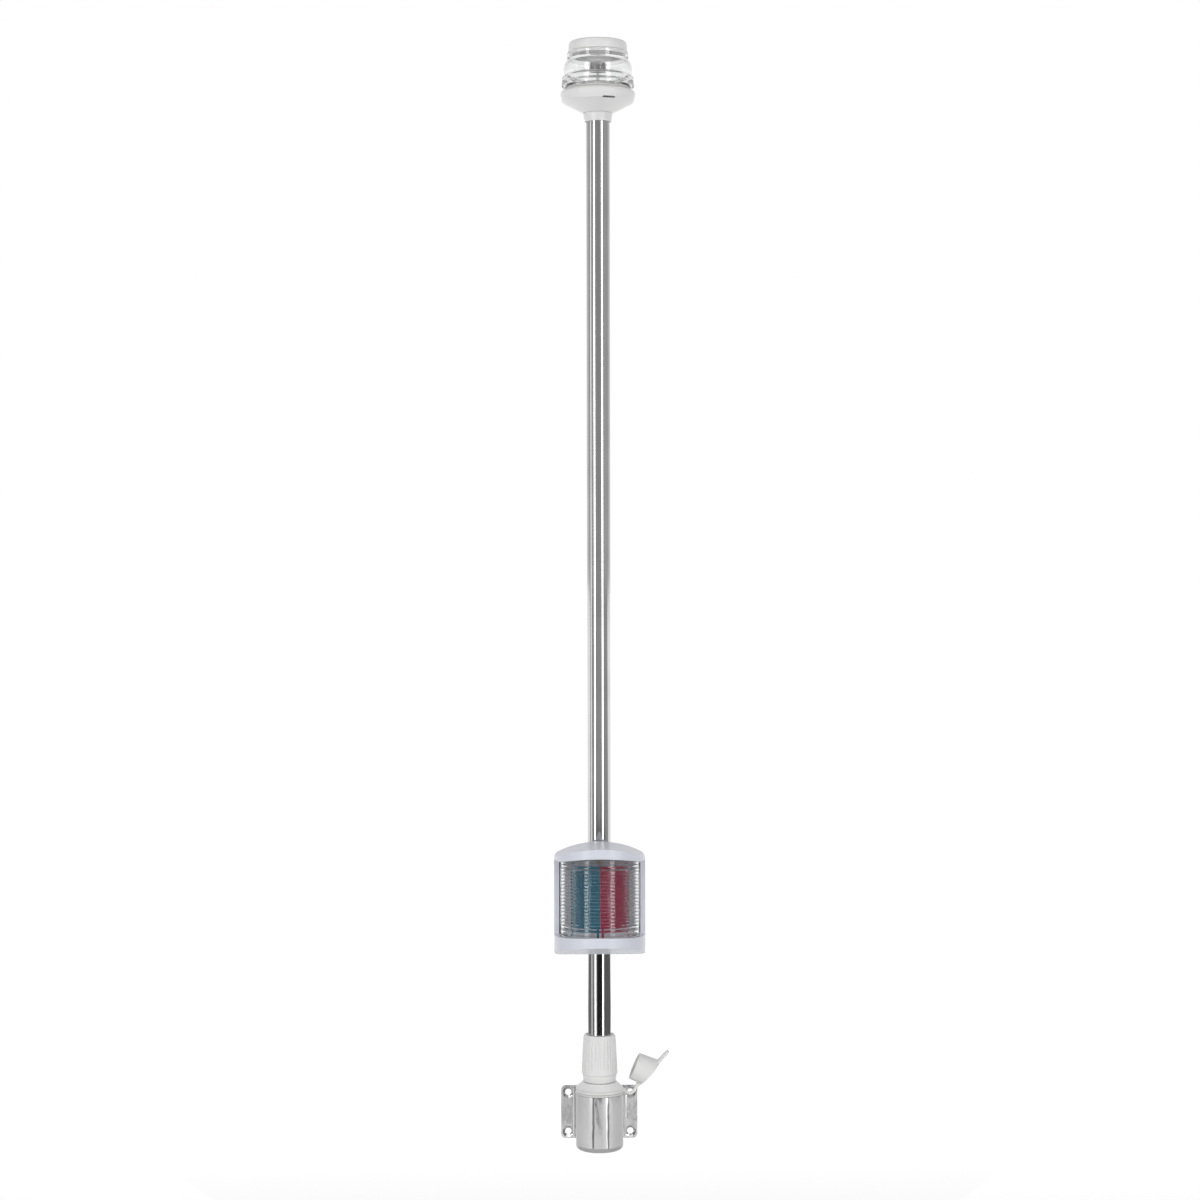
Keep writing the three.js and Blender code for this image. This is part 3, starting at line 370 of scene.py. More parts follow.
def moulded_plastic(name, color, roughness, grain=0.006):
    """Moulded plastic: faint colour drift, a fine grain, and a soft sheen."""
    m = Nodes(name, IOR=1.5)
    m.tint(m.noise(22, 4, 0.55), [c * 0.965 for c in color], [min(1.0, c * 1.015) for c in color])
    fine = m.noise(1800, 2, 0.6)
    m.rough(fine, roughness - 0.05, roughness + 0.06)
    m.bump(fine, grain)
    m.bump(m.noise(60, 2, 0.5), 0.03, 0.5)
    return m.material


def clear_acrylic(name, color=(0.955, 0.958, 0.96), roughness=0.02, clarity=1.0, gloss=0.5):
    """Acrylic or glass. A clarity under one leaves some coloured haze in it."""
    m = Nodes(name, Transmission_Weight=clarity, IOR=1.49, Roughness=roughness, Specular_IOR_Level=gloss)
    m.shader.inputs["Base Color"].default_value = (*color, 1)
    m.bump(m.noise(90, 2, 0.5), 0.02, 0.4)
    return m.material


def brass(name):
    """Slightly tarnished brass."""
    m = Nodes(name, Metallic=1.0)
    stain = m.noise(160, 4, 0.6)
    m.tint(stain, (0.50, 0.41, 0.26), (0.72, 0.62, 0.43))
    m.rough(stain, 0.24, 0.42)
    m.bump(m.noise(1500, 2), 0.004)
    return m.material


def black_rubber(name):
    """Matt black rubber with a faint bloom."""
    m = Nodes(name)
    bloom = m.noise(45, 4, 0.6)
    m.tint(bloom, (0.022, 0.022, 0.024), (0.0484, 0.0484, 0.0528))
    m.rough(bloom, 0.62, 0.85)
    m.bump(m.noise(2200, 2, 0.7), 0.015)
    return m.material


STEEL = polished_steel("polished_steel")
PRESSED_STEEL = polished_steel("pressed_steel", 0.30)
SCREW_STEEL = satin_steel("screw_steel")
WHITE = moulded_plastic("white_plastic", (0.80, 0.80, 0.795), 0.36)
COOL_WHITE = moulded_plastic("cool_white_plastic", (0.69, 0.713, 0.785), 0.33)
SOFT_WHITE = moulded_plastic("soft_white_plastic", (0.78, 0.78, 0.77), 0.5, 0.01)
# The sidelight's reflector is mid grey as painted shade. It stands in for the shade the lens would cast
# inside the light, since the lens casts no shadow.
REFLECTOR_SHADED_GREY = moulded_plastic("reflector_plastic_shaded", (0.50, 0.50, 0.50), 0.5)
GREY = moulded_plastic("grey_plastic", (0.48, 0.48, 0.48), 0.5)
CLEAR = clear_acrylic("clear_acrylic")
# The sidelight's lens is tinted grey as painted shade. It dims what is seen through it in place of the
# shadow the lens doesn't cast.
SIDE_CLEAR_SHADED = clear_acrylic("side_acrylic_shaded", (0.84, 0.85, 0.865))
GREEN = clear_acrylic("green_acrylic", (0.001, 0.165, 0.25), 0.05, 0.72, 0.12)
RED = clear_acrylic("red_acrylic", (0.40, 0.006, 0.07), 0.05, 0.72, 0.12)
GLASS = clear_acrylic("lamp_glass", (0.98, 0.98, 0.98))
BRASS = brass("brass")
RUBBER = black_rubber("black_rubber")
SILICONE = moulded_plastic("pale_silicone", (0.66, 0.66, 0.65), 0.6)
CABLE = black_rubber("cable_sheath")

# ---- Wall bracket ------------------------------------------------------------------------

CUP = {"r": 22.6, "bore": 20.8, "top": 23.0, "bottom": -29.5, "floor": 2.0, "fillet": 5.0, "outlet_r": 5.3}
PLATE = {"w": 72.0, "h": 50.0, "t": 2.5, "corner": 4.0, "bend": 3.4}
WALL_HOLE = {"x": 29.3, "z": 18.5, "r": 3.0, "sink_r": 5.2, "sink": 1.8}
POST_X = 12.6


def rounded_rect(w, h, r):
    corners = [(w / 2 - r, h / 2 - r, 0), (r - w / 2, h / 2 - r, 0.25)]
    corners += [(r - w / 2, r - h / 2, 0.5), (w / 2 - r, r - h / 2, 0.75)]
    return [p for u, v, turn in corners for p in arc(u, v, r, turn, turn + 0.25, 8)]


def wall_bracket():
    """The bracket: a cup, its web and bends, and the screw plate, with soft polished edges."""
    t, bend, r, foot, top = PLATE["t"], PLATE["bend"], CUP["r"], CUP["bottom"], CUP["top"]
    plan = arc(0, AXIS_Y, r, 0.5, 1, 96)
    plan += arc(r + bend, -t - bend, bend, 0.5, 0.25, 10)
    plan += [(r + bend, -t / 2), (-r - bend, -t / 2)]
    plan += arc(-r - bend, -t - bend, bend, 0.25, 0, 10)
    rounding_z = foot + CUP["fillet"]
    web = prism("wall_bracket_shell", plan, rounding_z, top, "z")
    rounding = arc(r - CUP["fillet"], rounding_z, CUP["fillet"], -0.25, 0, 10)
    floor = lathe("floor", [(0, foot), *rounding, (r, 0), (0, 0)], 192)
    plate = prism("plate", rounded_rect(PLATE["w"], PLATE["h"], PLATE["corner"]), -t, 0, "y")
    boolean(web, [floor, plate], "UNION")
    tools = [rod(CUP["bore"], foot + CUP["floor"], top + 1, 192)]
    tools.append(rod(CUP["outlet_r"], foot - 1, foot + 3, 48))
    sink = [(0, -1), (WALL_HOLE["r"], -1), (WALL_HOLE["r"], t - WALL_HOLE["sink"])]
    sink += [(WALL_HOLE["sink_r"] + 0.3, t + 0.1), (0, t + 0.1)]
    for x in (-WALL_HOLE["x"], WALL_HOLE["x"]):
        for z in (-WALL_HOLE["z"], WALL_HOLE["z"]):
            tools.append(laid(lathe("hole", sink, 48, (0, 0)), x, 0, z))
    screw = [(0, foot - 0.1), (4.45, foot - 0.1), (2.2, foot + 2.1), (1.9, foot + 3), (0, foot + 3)]
    for x in (-POST_X, POST_X):
        tools.append(lathe("screw_hole", screw, 48, (x, AXIS_Y)))
    boolean(web, tools)
    softened(web, 0.45)
    finish_piece(web, PRESSED_STEEL, "base", "wall_bracket")


# ---- Socket, ring nut and plug -----------------------------------------------------------

SOCKET = {"bore": 9.4, "neck_r": 12.0, "neck_top": 46.0, "collar_r": 22.4, "thread": 0.55, "pitch": 2.0}
NUT = {"r": 16.9, "cone_z": 43.3, "taper": 1.8 / 33.6, "grip_low": 45.2, "grip_high": 75.4, "flute": 0.62}
PLUG_RIVET_Z = 62.0


def screw_with_cross(name, profile, centre, head_z, size, depth, upwards=True):
    """A turned screw with a cross recess in its head."""
    obj = lathe(name, profile, 48, centre)
    low, high = (head_z - depth, head_z + 1) if upwards else (head_z - 1, head_z + depth)
    for turn in (0, TURN / 4):
        arm = prism("arm", box(-size, -size / 5, size, size / 5), low, high, "z")
        moved(arm, Matrix.Rotation(turn, 4, "Z"))
        boolean(obj, [shifted(arm, *centre, 0)])
    shade(obj, 30)
    return obj


def thread(depth, pitch, low, high):
    """A radius change that winds round a neck between two heights."""

    def wobble(r, z, a):
        if not low < z < high:
            return 0
        phase = (z / pitch - a / TURN) % 1
        fade = min(1, (z - low) / pitch, (high - z) / pitch)
        return -depth * fade * abs(2 * phase - 1)

    return wobble


def socket_body():
    """The socket: threaded neck, sloping collar with the strap's groove, and the foot in the cup."""
    bore, neck_r, top, r = SOCKET["bore"], SOCKET["neck_r"], SOCKET["neck_top"], SOCKET["collar_r"]
    mouth = eased([(bore, 10, 0), (bore, top), (neck_r, top)], 0.4)[:-1]
    neck = [(neck_r, top - 0.6)] + [(neck_r, top - 1 - 0.25 * i) for i in range(40)]
    collar = eased([
        (neck_r, 35), (neck_r, 33.9, 0.5), (16.3, 33.9, 0.5), (r, 28.3, 0.6), (r, 27.9, 0.15),
        (19.4, 27.9, 0.1), (19.4, 24.9, 0.1), (r, 24.9, 0.15), (r, 24.3, 0.15), (20.4, 24.3, 0.1),
        (20.4, 12, 0.3), (13, 12, 0.3), (13, -4, 0.4), (3, -4),
    ], 0.3)
    profile = [(0, -1), (bore, -1)] + mouth + neck + collar + [(0, -4)]
    winding = thread(SOCKET["thread"], SOCKET["pitch"], 35.5, top - 0.5)
    finish_piece(lathe("socket_collar", profile, 160, wobble=winding), WHITE, "base", "socket_body")


def socket_posts():
    """The two screw posts under the socket's shoulder."""
    low = CUP["bottom"] + CUP["floor"] + 0.3
    for side, x in (("left", -POST_X), ("right", POST_X)):
        profile = fillet([(1.9, low), (4, low), (4.3, 11.7), (1.9, 11.7)], 0.4)
        finish_piece(lathe("socket_post_" + side, profile, 40, (x, AXIS_Y)), WHITE, "base")


def socket_gasket():
    ring = fillet(box(20.7, 23.15, 22.5, 24.15), 0.3)
    finish_piece(lathe("socket_gasket_ring", ring), SOFT_WHITE, "base", "socket_gasket")


def cable_outlet():
    """The rubber sleeve in the cup's floor."""
    _, foot, top = middle("cable_outlet")
    profile = fillet([
        (3.5, foot), (4.6, foot), (5, foot + 1.6), (5, top - 1.5, 0.1), (8, top - 1.5), (8, top), (3.5, top),
    ], 0.5)
    finish_piece(lathe("cable_outlet_sleeve", profile, 64), RUBBER, "base", "cable_outlet")


def contacts():
    """The socket's three contacts and the plug's three pins."""
    for side in ("rear", "left", "right"):
        node = "socket_contact_" + side
        centre, foot, top = middle(node)
        profile = eased([(0, foot), (1, foot), (1, foot + 4), (1.6, foot + 4.4), (1.6, top), (0, top)], 0.4)
        finish_piece(lathe("socket_pin_" + side, profile, 32, centre), BRASS, "base", node)
        node = "plug_pin_" + side
        centre, foot, top = middle(node)
        profile = eased([(0, foot), (1.2, foot, 0.8), (1.2, top - 2), (0.8, top), (0, top)], 0.3)
        finish_piece(lathe("plug_contact_" + side, profile, 32, centre), BRASS, "pole", node)


def socket_screws():
    """The two countersunk screws that hold the socket from below."""
    low = CUP["bottom"]
    profile = [(0, low), (4.1, low), (4.1, low + 0.25), (1.9, low + 1.9), (1.5, low + 2.2)]
    profile += [(1.5, -13), (1.0, -12), (0, -12)]
    for side, x in (("left", -POST_X), ("right", POST_X)):
        screw = screw_with_cross("socket_fixing_" + side, profile, (x, AXIS_Y), low, 2.0, 1.3, upwards=False)
        finish_piece(screw, SCREW_STEEL, "base", "socket_screw_" + side)


def flutes(count, depth, low, high, fade, inner_r=13.5):
    """Shallow round-bottomed flutes with soft ends, outside a radius."""

    def wobble(r, z, a):
        if r < inner_r or not low < z < high:
            return 0
        end = min(1, (z - low) / fade, (high - z) / fade)
        end = end * end * (3 - 2 * end)
        wave = (math.cos(count * a) + 1) / 2
        return -depth * end * wave**3

    return wobble


def ring_nut():
    """The ring nut, with its fluted cone and its rolled top edge."""
    _, bottom, top = middle("ring_nut")
    r, cone_z = NUT["r"], NUT["cone_z"]
    heights = [cone_z + 1.3 + 0.95 * i for i in range(33)]
    cone = [(r - NUT["taper"] * (z - cone_z), z) for z in heights]
    outer = eased([
        (12.2, bottom, 0.2), (14.3, bottom, 0.4), (15.0, bottom + 0.9, 0.6), (16.0, 39.9, 0.4),
        (15.6, 40.5, 0.3), (15.9, 41.1, 0.3), (16.5, 41.6, 0.5), (r, cone_z, 1.4), cone[0],
    ], 0.4)
    crown = eased([
        cone[-1], (15.05, 76.6, 0.9), (13.9, top, 0.7), (12.4, top, 0.3), (11.9, top - 0.7, 0.3),
        (11.25, top - 0.9, 0.2), (11.25, 50.8, 0), (12.2, 50.8, 0),
    ], 0.4)
    grip = flutes(30, NUT["flute"], NUT["grip_low"], NUT["grip_high"], 3.0)
    nut = lathe("ring_nut_grip", outer + cone[1:-1] + crown, 300, wobble=grip, smooth_angle=40)
    finish_piece(nut, WHITE, "nut", "ring_nut")


def thrust_washer():
    _, foot, top = middle("thrust_washer")
    ring = fillet(box(11.3, foot, 11.9, top), 0.15)
    finish_piece(lathe("thrust_ring", ring, 96), SOFT_WHITE, "nut_washer", "thrust_washer")


def pole_plug():
    """The plug in the pole's foot, its seal and the rivet that holds it."""
    profile = eased([
        (0, 9), (8.6, 9, 0.4), (9.2, 9.8, 0.5), (9.2, 35.2, 0.15), (7.7, 35.2, 0.1), (7.7, 37, 0.1),
        (9.2, 37, 0.15), (9.2, 46.3, 0.2), (11.9, 46.3, 0.3), (11.9, 49, 0.3), (9.5, 49, 0.1),
        (9.5, 77.5, 0.3), (9, 78, 0.2), (6, 78, 0.2), (6, 14, 0.2), (0, 14),
    ], 0.3)
    plug = lathe("plug_nose", profile, 128)
    boolean(plug, [rod(1.5, 8, 15, 24, middle("plug_pin_" + side)[0]) for side in ("rear", "left", "right")])
    shade(plug)
    finish_piece(plug, WHITE, "pole", "pole_plug")
    seal = lathe("plug_o_ring", arc(8.5, 36.1, 0.74, 0, 1, 20)[:-1], 96)
    finish_piece(seal, RUBBER, "pole", "plug_seal")
    rivet = lathe("plug_pop_rivet", eased(box(0, 6.3, 1.5, 10.8), 0.3), 32, (0, 0))
    finish_piece(laid(rivet, 0, AXIS_Y, PLUG_RIVET_Z, back=True), SCREW_STEEL, "pole", "plug_rivet")


# ---- Pole --------------------------------------------------------------------------------

TUBE_BORE = 9.8
NECK_RIVET_Z = HEAD_Z + 4
SIDE_EXIT = 50.5


def pole_tube():
    """The polished tube, with its rivet, screw and cable holes."""
    low, high, near_end = tube_low.z, tube_high.z, 2
    profile = fillet([
        (TUBE_BORE, low), (TUBE_R, low), (TUBE_R, low + near_end), (TUBE_R, high - near_end),
        (TUBE_R, high), (TUBE_BORE, high),
    ], 0.3)
    tube = lathe("pole_tube_polished", profile, 160)
    holes = [(1.8, PLUG_RIVET_Z, True), (1.8, NECK_RIVET_Z, True)]
    holes += [(2.2, SIDE_Z + z, False) for _, z in SIDE_SCREW["zs"]]
    holes.append((3.4, SIDE_Z + SIDE_EXIT, False))
    boolean(tube, [cross_drill(r, 8, 13, AXIS_Y, z, back) for r, z, back in holes])
    shade(tube, 30)
    finish_piece(tube, STEEL, "pole", "pole_tube")


def swept_cable(name, path, r, node):
    """A round cable along a smooth path of points in millimetres."""
    curve = bpy.data.curves.new(name, "CURVE")
    curve.dimensions = "3D"
    curve.bevel_depth = r * MM
    curve.bevel_resolution = 4
    curve.resolution_u = 8
    curve.use_fill_caps = True
    spline = curve.splines.new("NURBS")
    spline.points.add(len(path) - 1)
    spline.use_endpoint_u = True
    spline.order_u = 4
    for point, place in zip(spline.points, path):
        point.co = (*(Vector(place) * MM), 1)
    holder = bpy.data.objects.new(name + "_path", curve)
    bpy.context.scene.collection.objects.link(holder)
    graph = bpy.context.evaluated_depsgraph_get()
    mesh = bpy.data.meshes.new_from_object(holder.evaluated_get(graph))
    bpy.data.objects.remove(holder)
    obj = bpy.data.objects.new(name, mesh)
    bpy.context.scene.collection.objects.link(obj)
    shade(obj, 60)
    finish_piece(obj, CABLE, "pole", node)


def cables():
    """The two leads inside the tube, and the grommet where the sidelight's lead comes out."""
    x = 2.6
    head = [(-x, AXIS_Y, 19 + z) for z in (0, 60, 200, 400, 600, 800)]
    head += [(-x, AXIS_Y, HEAD_Z - 20), (0, AXIS_Y, HEAD_Z + 8), (0, AXIS_Y, HEAD_Z + 26)]
    swept_cable("head_lead", head, 1.9, "head_cable")
    exit_z = SIDE_Z + SIDE_EXIT
    side = [(x, 0, 19), (x, 0, 80), (x, 0, exit_z - 22), (x * 0.8, -1, exit_z - 11)]
    side += [(x * 0.2, -5, exit_z - 2), (0, -11, exit_z), (0, -18.3, exit_z), (0, -26.3, exit_z)]
    swept_cable("side_lead", [(px, AXIS_Y + py, pz) for px, py, pz in side], 1.6, "side_cable")
    section = fillet([(2.3, 8.8), (3.1, 8.8), (3.1, 9.6), (2.9, 10), (3.1, 12.6), (2.3, 12.6)], 0.2)
    grommet = laid(lathe("tube_grommet_ring", section, 40, (0, 0)), 0, AXIS_Y, exit_z)
    finish_piece(grommet, RUBBER, "pole", "tube_grommet")


# ---- Flip cap ----------------------------------------------------------------------------

PIVOT = (28.5, 22.6)
LID = {"x": 35.2, "z": 31.4, "angle": 0.839, "length": 42.5, "r": 14.2, "tab": 5.0, "t": 2.2}
CAP = {"r": 13.3, "tilt": 0.314, "short": 9.6, "start": 1.2, "wall": 1.1, "taper": 0.06, "bead": 0.12}


def lid_outline(disc_x):
    """A round lid with a pull tab at one end and a neck for the strap at the other."""
    r, tab = LID["r"], LID["tab"]
    spread = math.asin(tab / r) / TURN
    outline = arc(disc_x, 0, r, spread, 0.45, 24)
    outline += [(0.4, 4.4), (-1.2, 4.0), (-1.2, -4.0), (0.4, -4.4)]
    outline += arc(disc_x, 0, r, 0.55, 1 - spread, 24)
    return outline + arc(LID["length"] - tab, 0, tab, -0.25, 0.25, 16)


def flip_cap():
    """The lid and its pull tab, and the tapered cup that stands on it at a slant."""
    tilt, r = CAP["tilt"], CAP["r"]
    lid = prism("flip_cap_lid", lid_outline(CAP["start"] + r / math.cos(tilt)), -LID["t"], 0, "z")
    softened(lid, 0.55, 4)
    mouth_x = CAP["start"] - CAP["short"] * math.sin(tilt) + r * math.cos(tilt)
    mouth = Vector((mouth_x, 0, CAP["short"] * math.cos(tilt) + r * math.sin(tilt)))
    axis = Vector((-math.sin(tilt), 0, math.cos(tilt)))
    across = Vector((math.cos(tilt), 0, math.sin(tilt)))

    def ring(radius, rise, lid_z=None):
        """Points round the cup's mouth, or carried down its slanted wall to a height on the lid."""
        points = []
        for i in range(96):
            a = TURN * i / 96
            side = across * math.cos(a) + Vector((0, 1, 0)) * math.sin(a)
            point = mouth + side * radius + axis * rise
            if lid_z is not None:
                slant = side * CAP["taper"] - axis
                point += slant * ((point.z - lid_z) / -slant.z)
            points.append(point)
        return points

    outer = r - 0.55
    inner, bead = outer - CAP["wall"], outer + CAP["bead"]
    sections = [ring(outer, 0, -0.4), ring(outer, -0.5), ring(bead, -0.5), ring(bead, -0.1)]
    sections += [ring(outer - 0.2, 0), ring(inner + 0.2, 0), ring(inner, -0.25), ring(inner, -0.25, -0.4)]
    cup = loft("flip_cap_cup", sections, ring=True)
    place = Matrix.Translation(Vector((LID["x"], AXIS_Y, LID["z"])) * MM)
    for piece, nodes in ((lid, ["protective_cap"]), (cup, [])):
        moved(piece, place @ Matrix.Rotation(-LID["angle"], 4, "Y"))
        finish_piece(piece, SOFT_WHITE, "cap", *nodes)


def smooth_line(points, steps):
    """A Catmull-Rom curve through given points."""
    line = []
    ends = [points[0], *points, points[-1]]
    for k in range(1, len(ends) - 2):
        p0, p1, p2, p3 = (Vector(p) for p in ends[k - 1 : k + 3])
        for i in range(steps):
            t = i / steps
            point = 2 * p1 + (p2 - p0) * t
            point += (2 * p0 - 5 * p1 + 4 * p2 - p3) * t * t
            point += (3 * p1 - p0 - 3 * p2 + p3) * t**3
            line.append(0.5 * point)
    line.append(Vector(points[-1]))
    return line


def cap_strap():
    """The soft strap from the collar's ring, round its bend, to the lid."""
    ring = lathe("strap_ring", fillet(box(19.7, 25.2, 22.3, 27.6), 0.5))
    finish_piece(ring, SOFT_WHITE, "base", "cap_strap_ring")
    line = smooth_line([
        (21.2, 26.4), (23.4, 25.4), (25.6, 23.5), PIVOT, (31.6, 24.3), (34.0, 28.3), (36.2, 32.5),
    ], 8)
    sections = []
    for i, point in enumerate(line):
        along = (line[min(i + 1, len(line) - 1)] - line[max(i - 1, 0)]).normalized()
        normal = Vector((-along.y, along.x))
        width = 4.4 - 0.9 * math.sin(math.pi * i / (len(line) - 1))
        thick = 1.1 - 0.35 * math.exp(-((point - Vector(PIVOT)).length / 3.0) ** 2)
        section = fillet(box(-width, -thick, width, thick), 0.6, 3)
        sections.append([(point.x + normal.x * v, AXIS_Y + u, point.y + normal.y * v) for u, v in section])
    strap = loft("cap_strap_band", sections, 50)
    finish_piece(strap, SOFT_WHITE, None)
    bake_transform(strap)

# ---- Head --------------------------------------------------------------------------------

SLOT = {"w": 11.8, "low": 17.5, "high": 19.0, "depth_r": 24.0, "turn": 0.05}
LAMP_SCREW_X = 19.0
BELT = {"r": 13.4, "z": 48.2, "max_r": 31.7}


def neck_sleeve():
    """The sleeve on the tube's top, with a hole for its rivet."""
    profile = fillet([(11.3, 0), (12.4, 0), (13.5, 7.8), (12.6, 7.8), (12.6, 15), (11.3, 15)], 0.3)
    sleeve = lathe("neck_sleeve", profile, 160, z0=HEAD_Z)
    boolean(sleeve, [cross_drill(1.9, 10, 15, AXIS_Y, NECK_RIVET_Z, back=True)])
    shade(sleeve)
    finish_piece(sleeve, WHITE, "pole", "neck_adapter")


def lamp_screw_rods(r, low, high, segments):
    """Two cylinders at the lamp plate's screws, to join or to cut."""
    return [rod(r, low, high, segments, (x, AXIS_Y), HEAD_Z) for x in (-LAMP_SCREW_X, LAMP_SCREW_X)]


def head_dish():
    """The head's dished base, with its screw bosses and the drain slot."""
    profile = fillet([
        (12.9, 8.1, 0.1), (13.55, 8.1, 0.2), (32.5, 18.1, 1.2), (33.6, 20.6, 1.0), (34.7, 25.7, 0.8),
        (34.0, 27.4, 0.6), (30.8, 29.2, 0.5), (28.2, 29.2, 0.2), (28.2, 33.2, 0.3), (26.4, 33.2, 0.3),
        (26.4, 18.2, 0.6), (12.9, 10.9, 0.2),
    ], 0.4, 6)
    dish = lathe("head_dish", profile, 192, z0=HEAD_Z)
    boolean(dish, lamp_screw_rods(3.4, 13.2, 19.7, 48), "UNION")
    half = SLOT["w"] / 2
    mouth = fillet(box(-half, -40, half, -SLOT["depth_r"]), 0.5)
    slot = prism("slot", mouth, SLOT["low"], SLOT["high"], "z")
    moved(slot, Matrix.Rotation(TURN * SLOT["turn"], 4, "Z"))
    boolean(dish, [*lamp_screw_rods(1.6, 15.2, 20, 32), shifted(slot, 0, AXIS_Y, HEAD_Z)])
    shade(dish, 28)
    finish_piece(dish, WHITE, "pole", "head_base")


def head_lock_ring():
    profile = fillet([(12.9, 11.5), (15.2, 12.8), (15.2, 16), (12.9, 16)], 0.3)
    grip = flutes(12, 0.5, 12.9, 15.9, 0.5, inner_r=14)
    lock = lathe("head_lock_ring", profile, 144, z0=HEAD_Z, wobble=grip)
    finish_piece(lock, WHITE, "pole", "head_lock_nut")


def head_cap_disc():
    """The white cap pressed into the top of the lens."""
    profile = eased([
        (0, 71.6), (23.6, 71.6, 0.6), (23.6, 61.5, 0.3), (26.1, 61.5, 0.4), (26.1, 64.5, 0.2),
        (27.3, 64.5, 0.3), (27.05, 70.0, 2.0), (26.5, 72.4, 1.4), (25.4, 73.7, 1.2), (12, 73.8, 0),
        (0, 73.8),
    ], 0.4, 6)
    finish_piece(lathe("head_cap_disc", profile, 192, z0=HEAD_Z), WHITE, "lens", "head_cap")


def head_lens():
    """The clear lens, moulded with ridges at its foot and a bulging belt round the lamp."""
    centre_r, z, r = BELT["max_r"] - BELT["r"], BELT["z"], BELT["r"]
    belt = arc(centre_r, z, r, -0.4 / TURN, 0.715 / TURN, 28)
    outer = eased([
        (28.6, 30.9, 0.3), (31.2, 30.9, 0.4), (33.5, 32.3, 0.7), (33.5, 35.2, 0.6), (32.2, 36.1, 0.3),
        (33.1, 37.0, 0.5), (33.1, 40.7, 0.8), (30.3, 42.6, 0.3), belt[0],
    ], 0.4, 5)
    hollow = arc(centre_r - 0.4, z, r - 2.0, 0.56 / TURN, -0.42 / TURN, 20)
    crown = eased([
        belt[-1], (28.2, 57.6, 0.4), (28.4, 59.0, 0.4), (28.4, 63.0, 0.6), (27.4, 64.2, 0.4),
        (26.4, 64.2, 0.3), (26.4, 56.5, 0.8), hollow[0],
    ], 0.4, 5)
    foot = eased([hollow[-1], (28.6, 40.0, 1.5), (28.6, 30.9)], 0.4, 5)
    profile = outer + belt[1:-1] + crown[:-1] + hollow[:-1] + foot[:-1]
    lens = lathe("head_lens_clear", profile, 192, z0=HEAD_Z, smooth_angle=30)
    lens.visible_shadow = False
    finish_piece(lens, CLEAR, "lens", "head_lens")


def lamp_plate():
    """The plate under the lamp and its two screws."""
    plate = lathe("lamp_plate_disc", fillet(box(3, 20, 25.9, 22.5), 0.35), 160, z0=HEAD_Z)
    boolean(plate, lamp_screw_rods(1.6, 19, 23, 32))
    shade(plate)
    finish_piece(plate, WHITE, "pole", "lamp_plate")
    profile = [(0, 15.8), (1.0, 15.9), (1.3, 16.6), (1.3, 22.8), (2.8, 22.8), (2.75, 23.5), (2.4, 24.2)]
    profile += [(1.4, 24.55), (0, 24.6)]
    profile = [(r, z + HEAD_Z) for r, z in profile]
    for side, x in (("left", -LAMP_SCREW_X), ("right", LAMP_SCREW_X)):
        screw = screw_with_cross("lamp_fixing_" + side, profile, (x, AXIS_Y), profile[-1][1], 1.5, 1.0)
        finish_piece(screw, SCREW_STEEL, "pole", "lamp_plate_screw_" + side)


def lamp():
    """The lamp: its holder, stem, ribbed block, clear band and cover."""
    holder = fillet([
        (4.5, 22.8), (7.8, 22.8, 0.3), (7.8, 33, 0.8), (6, 35, 1.2), (3.05, 36.6, 0.6), (1.65, 36.6, 0.2),
        (1.65, 28, 0.2), (4.5, 28, 0.2),
    ], 0.3, 5)
    finish_piece(lathe("lamp_socket_block", holder, 96, z0=HEAD_Z), GREY, "pole", "lamp_socket")
    stem = eased([(0, 28.3), (1.35, 28.3, 0.3), (1.35, 46, 0.2), (0, 46)], 0.2)
    finish_piece(lathe("lamp_column", stem, 40, z0=HEAD_Z), SCREW_STEEL, "pole", "lamp_stem")
    block = [(0, 46.3), (6.9, 46.3), (7.3, 46.8)] + [(7.3, 47.2 + 0.4 * i) for i in range(17)]
    block += [(7.3, 54.2), (6.9, 54.7), (0, 54.7)]
    ribs = flutes(8, 0.7, 47.3, 53.7, 0.6, inner_r=7)
    finish_piece(lathe("lamp_block", block, z0=HEAD_Z, wobble=ribs), GREY, "pole", "lamp_module")
    band = fillet(box(7.6, 48.5, 8.1, 52.5), 0.15)
    finish_piece(lathe("lamp_window", band, 96, z0=HEAD_Z), CLEAR, "pole", "lamp_band")
    lid = eased([(0, 55), (7.3, 55, 0.3), (6.8, 56.5, 0.5), (4.0, 57.6, 1.0), (0, 58.1)], 0.3, 5)
    finish_piece(lathe("lamp_cover", lid, 96, z0=HEAD_Z), SOFT_WHITE, "pole", "lamp_lid")


def head_seal():
    seal = lathe("head_o_ring", arc(29.8, 30.05, 0.65, 0, 1, 20)[:-1], 160, z0=HEAD_Z)
    finish_piece(seal, SILICONE, "lens_seal", "head_seal")


def neck_rivet():
    profile = [(0, 9.2), (1.5, 9.2), (1.5, 13.3), (2.4, 13.3), (2.2, 13.8), (1.2, 14.1), (0, 14.1)]
    rivet = lathe("neck_pop_rivet", eased(profile, 0.15), 40, (0, 0))
    finish_piece(laid(rivet, 0, AXIS_Y, NECK_RIVET_Z, back=True), SCREW_STEEL, "pole", "neck_rivet")


# ---- Sidelight ---------------------------------------------------------------------------

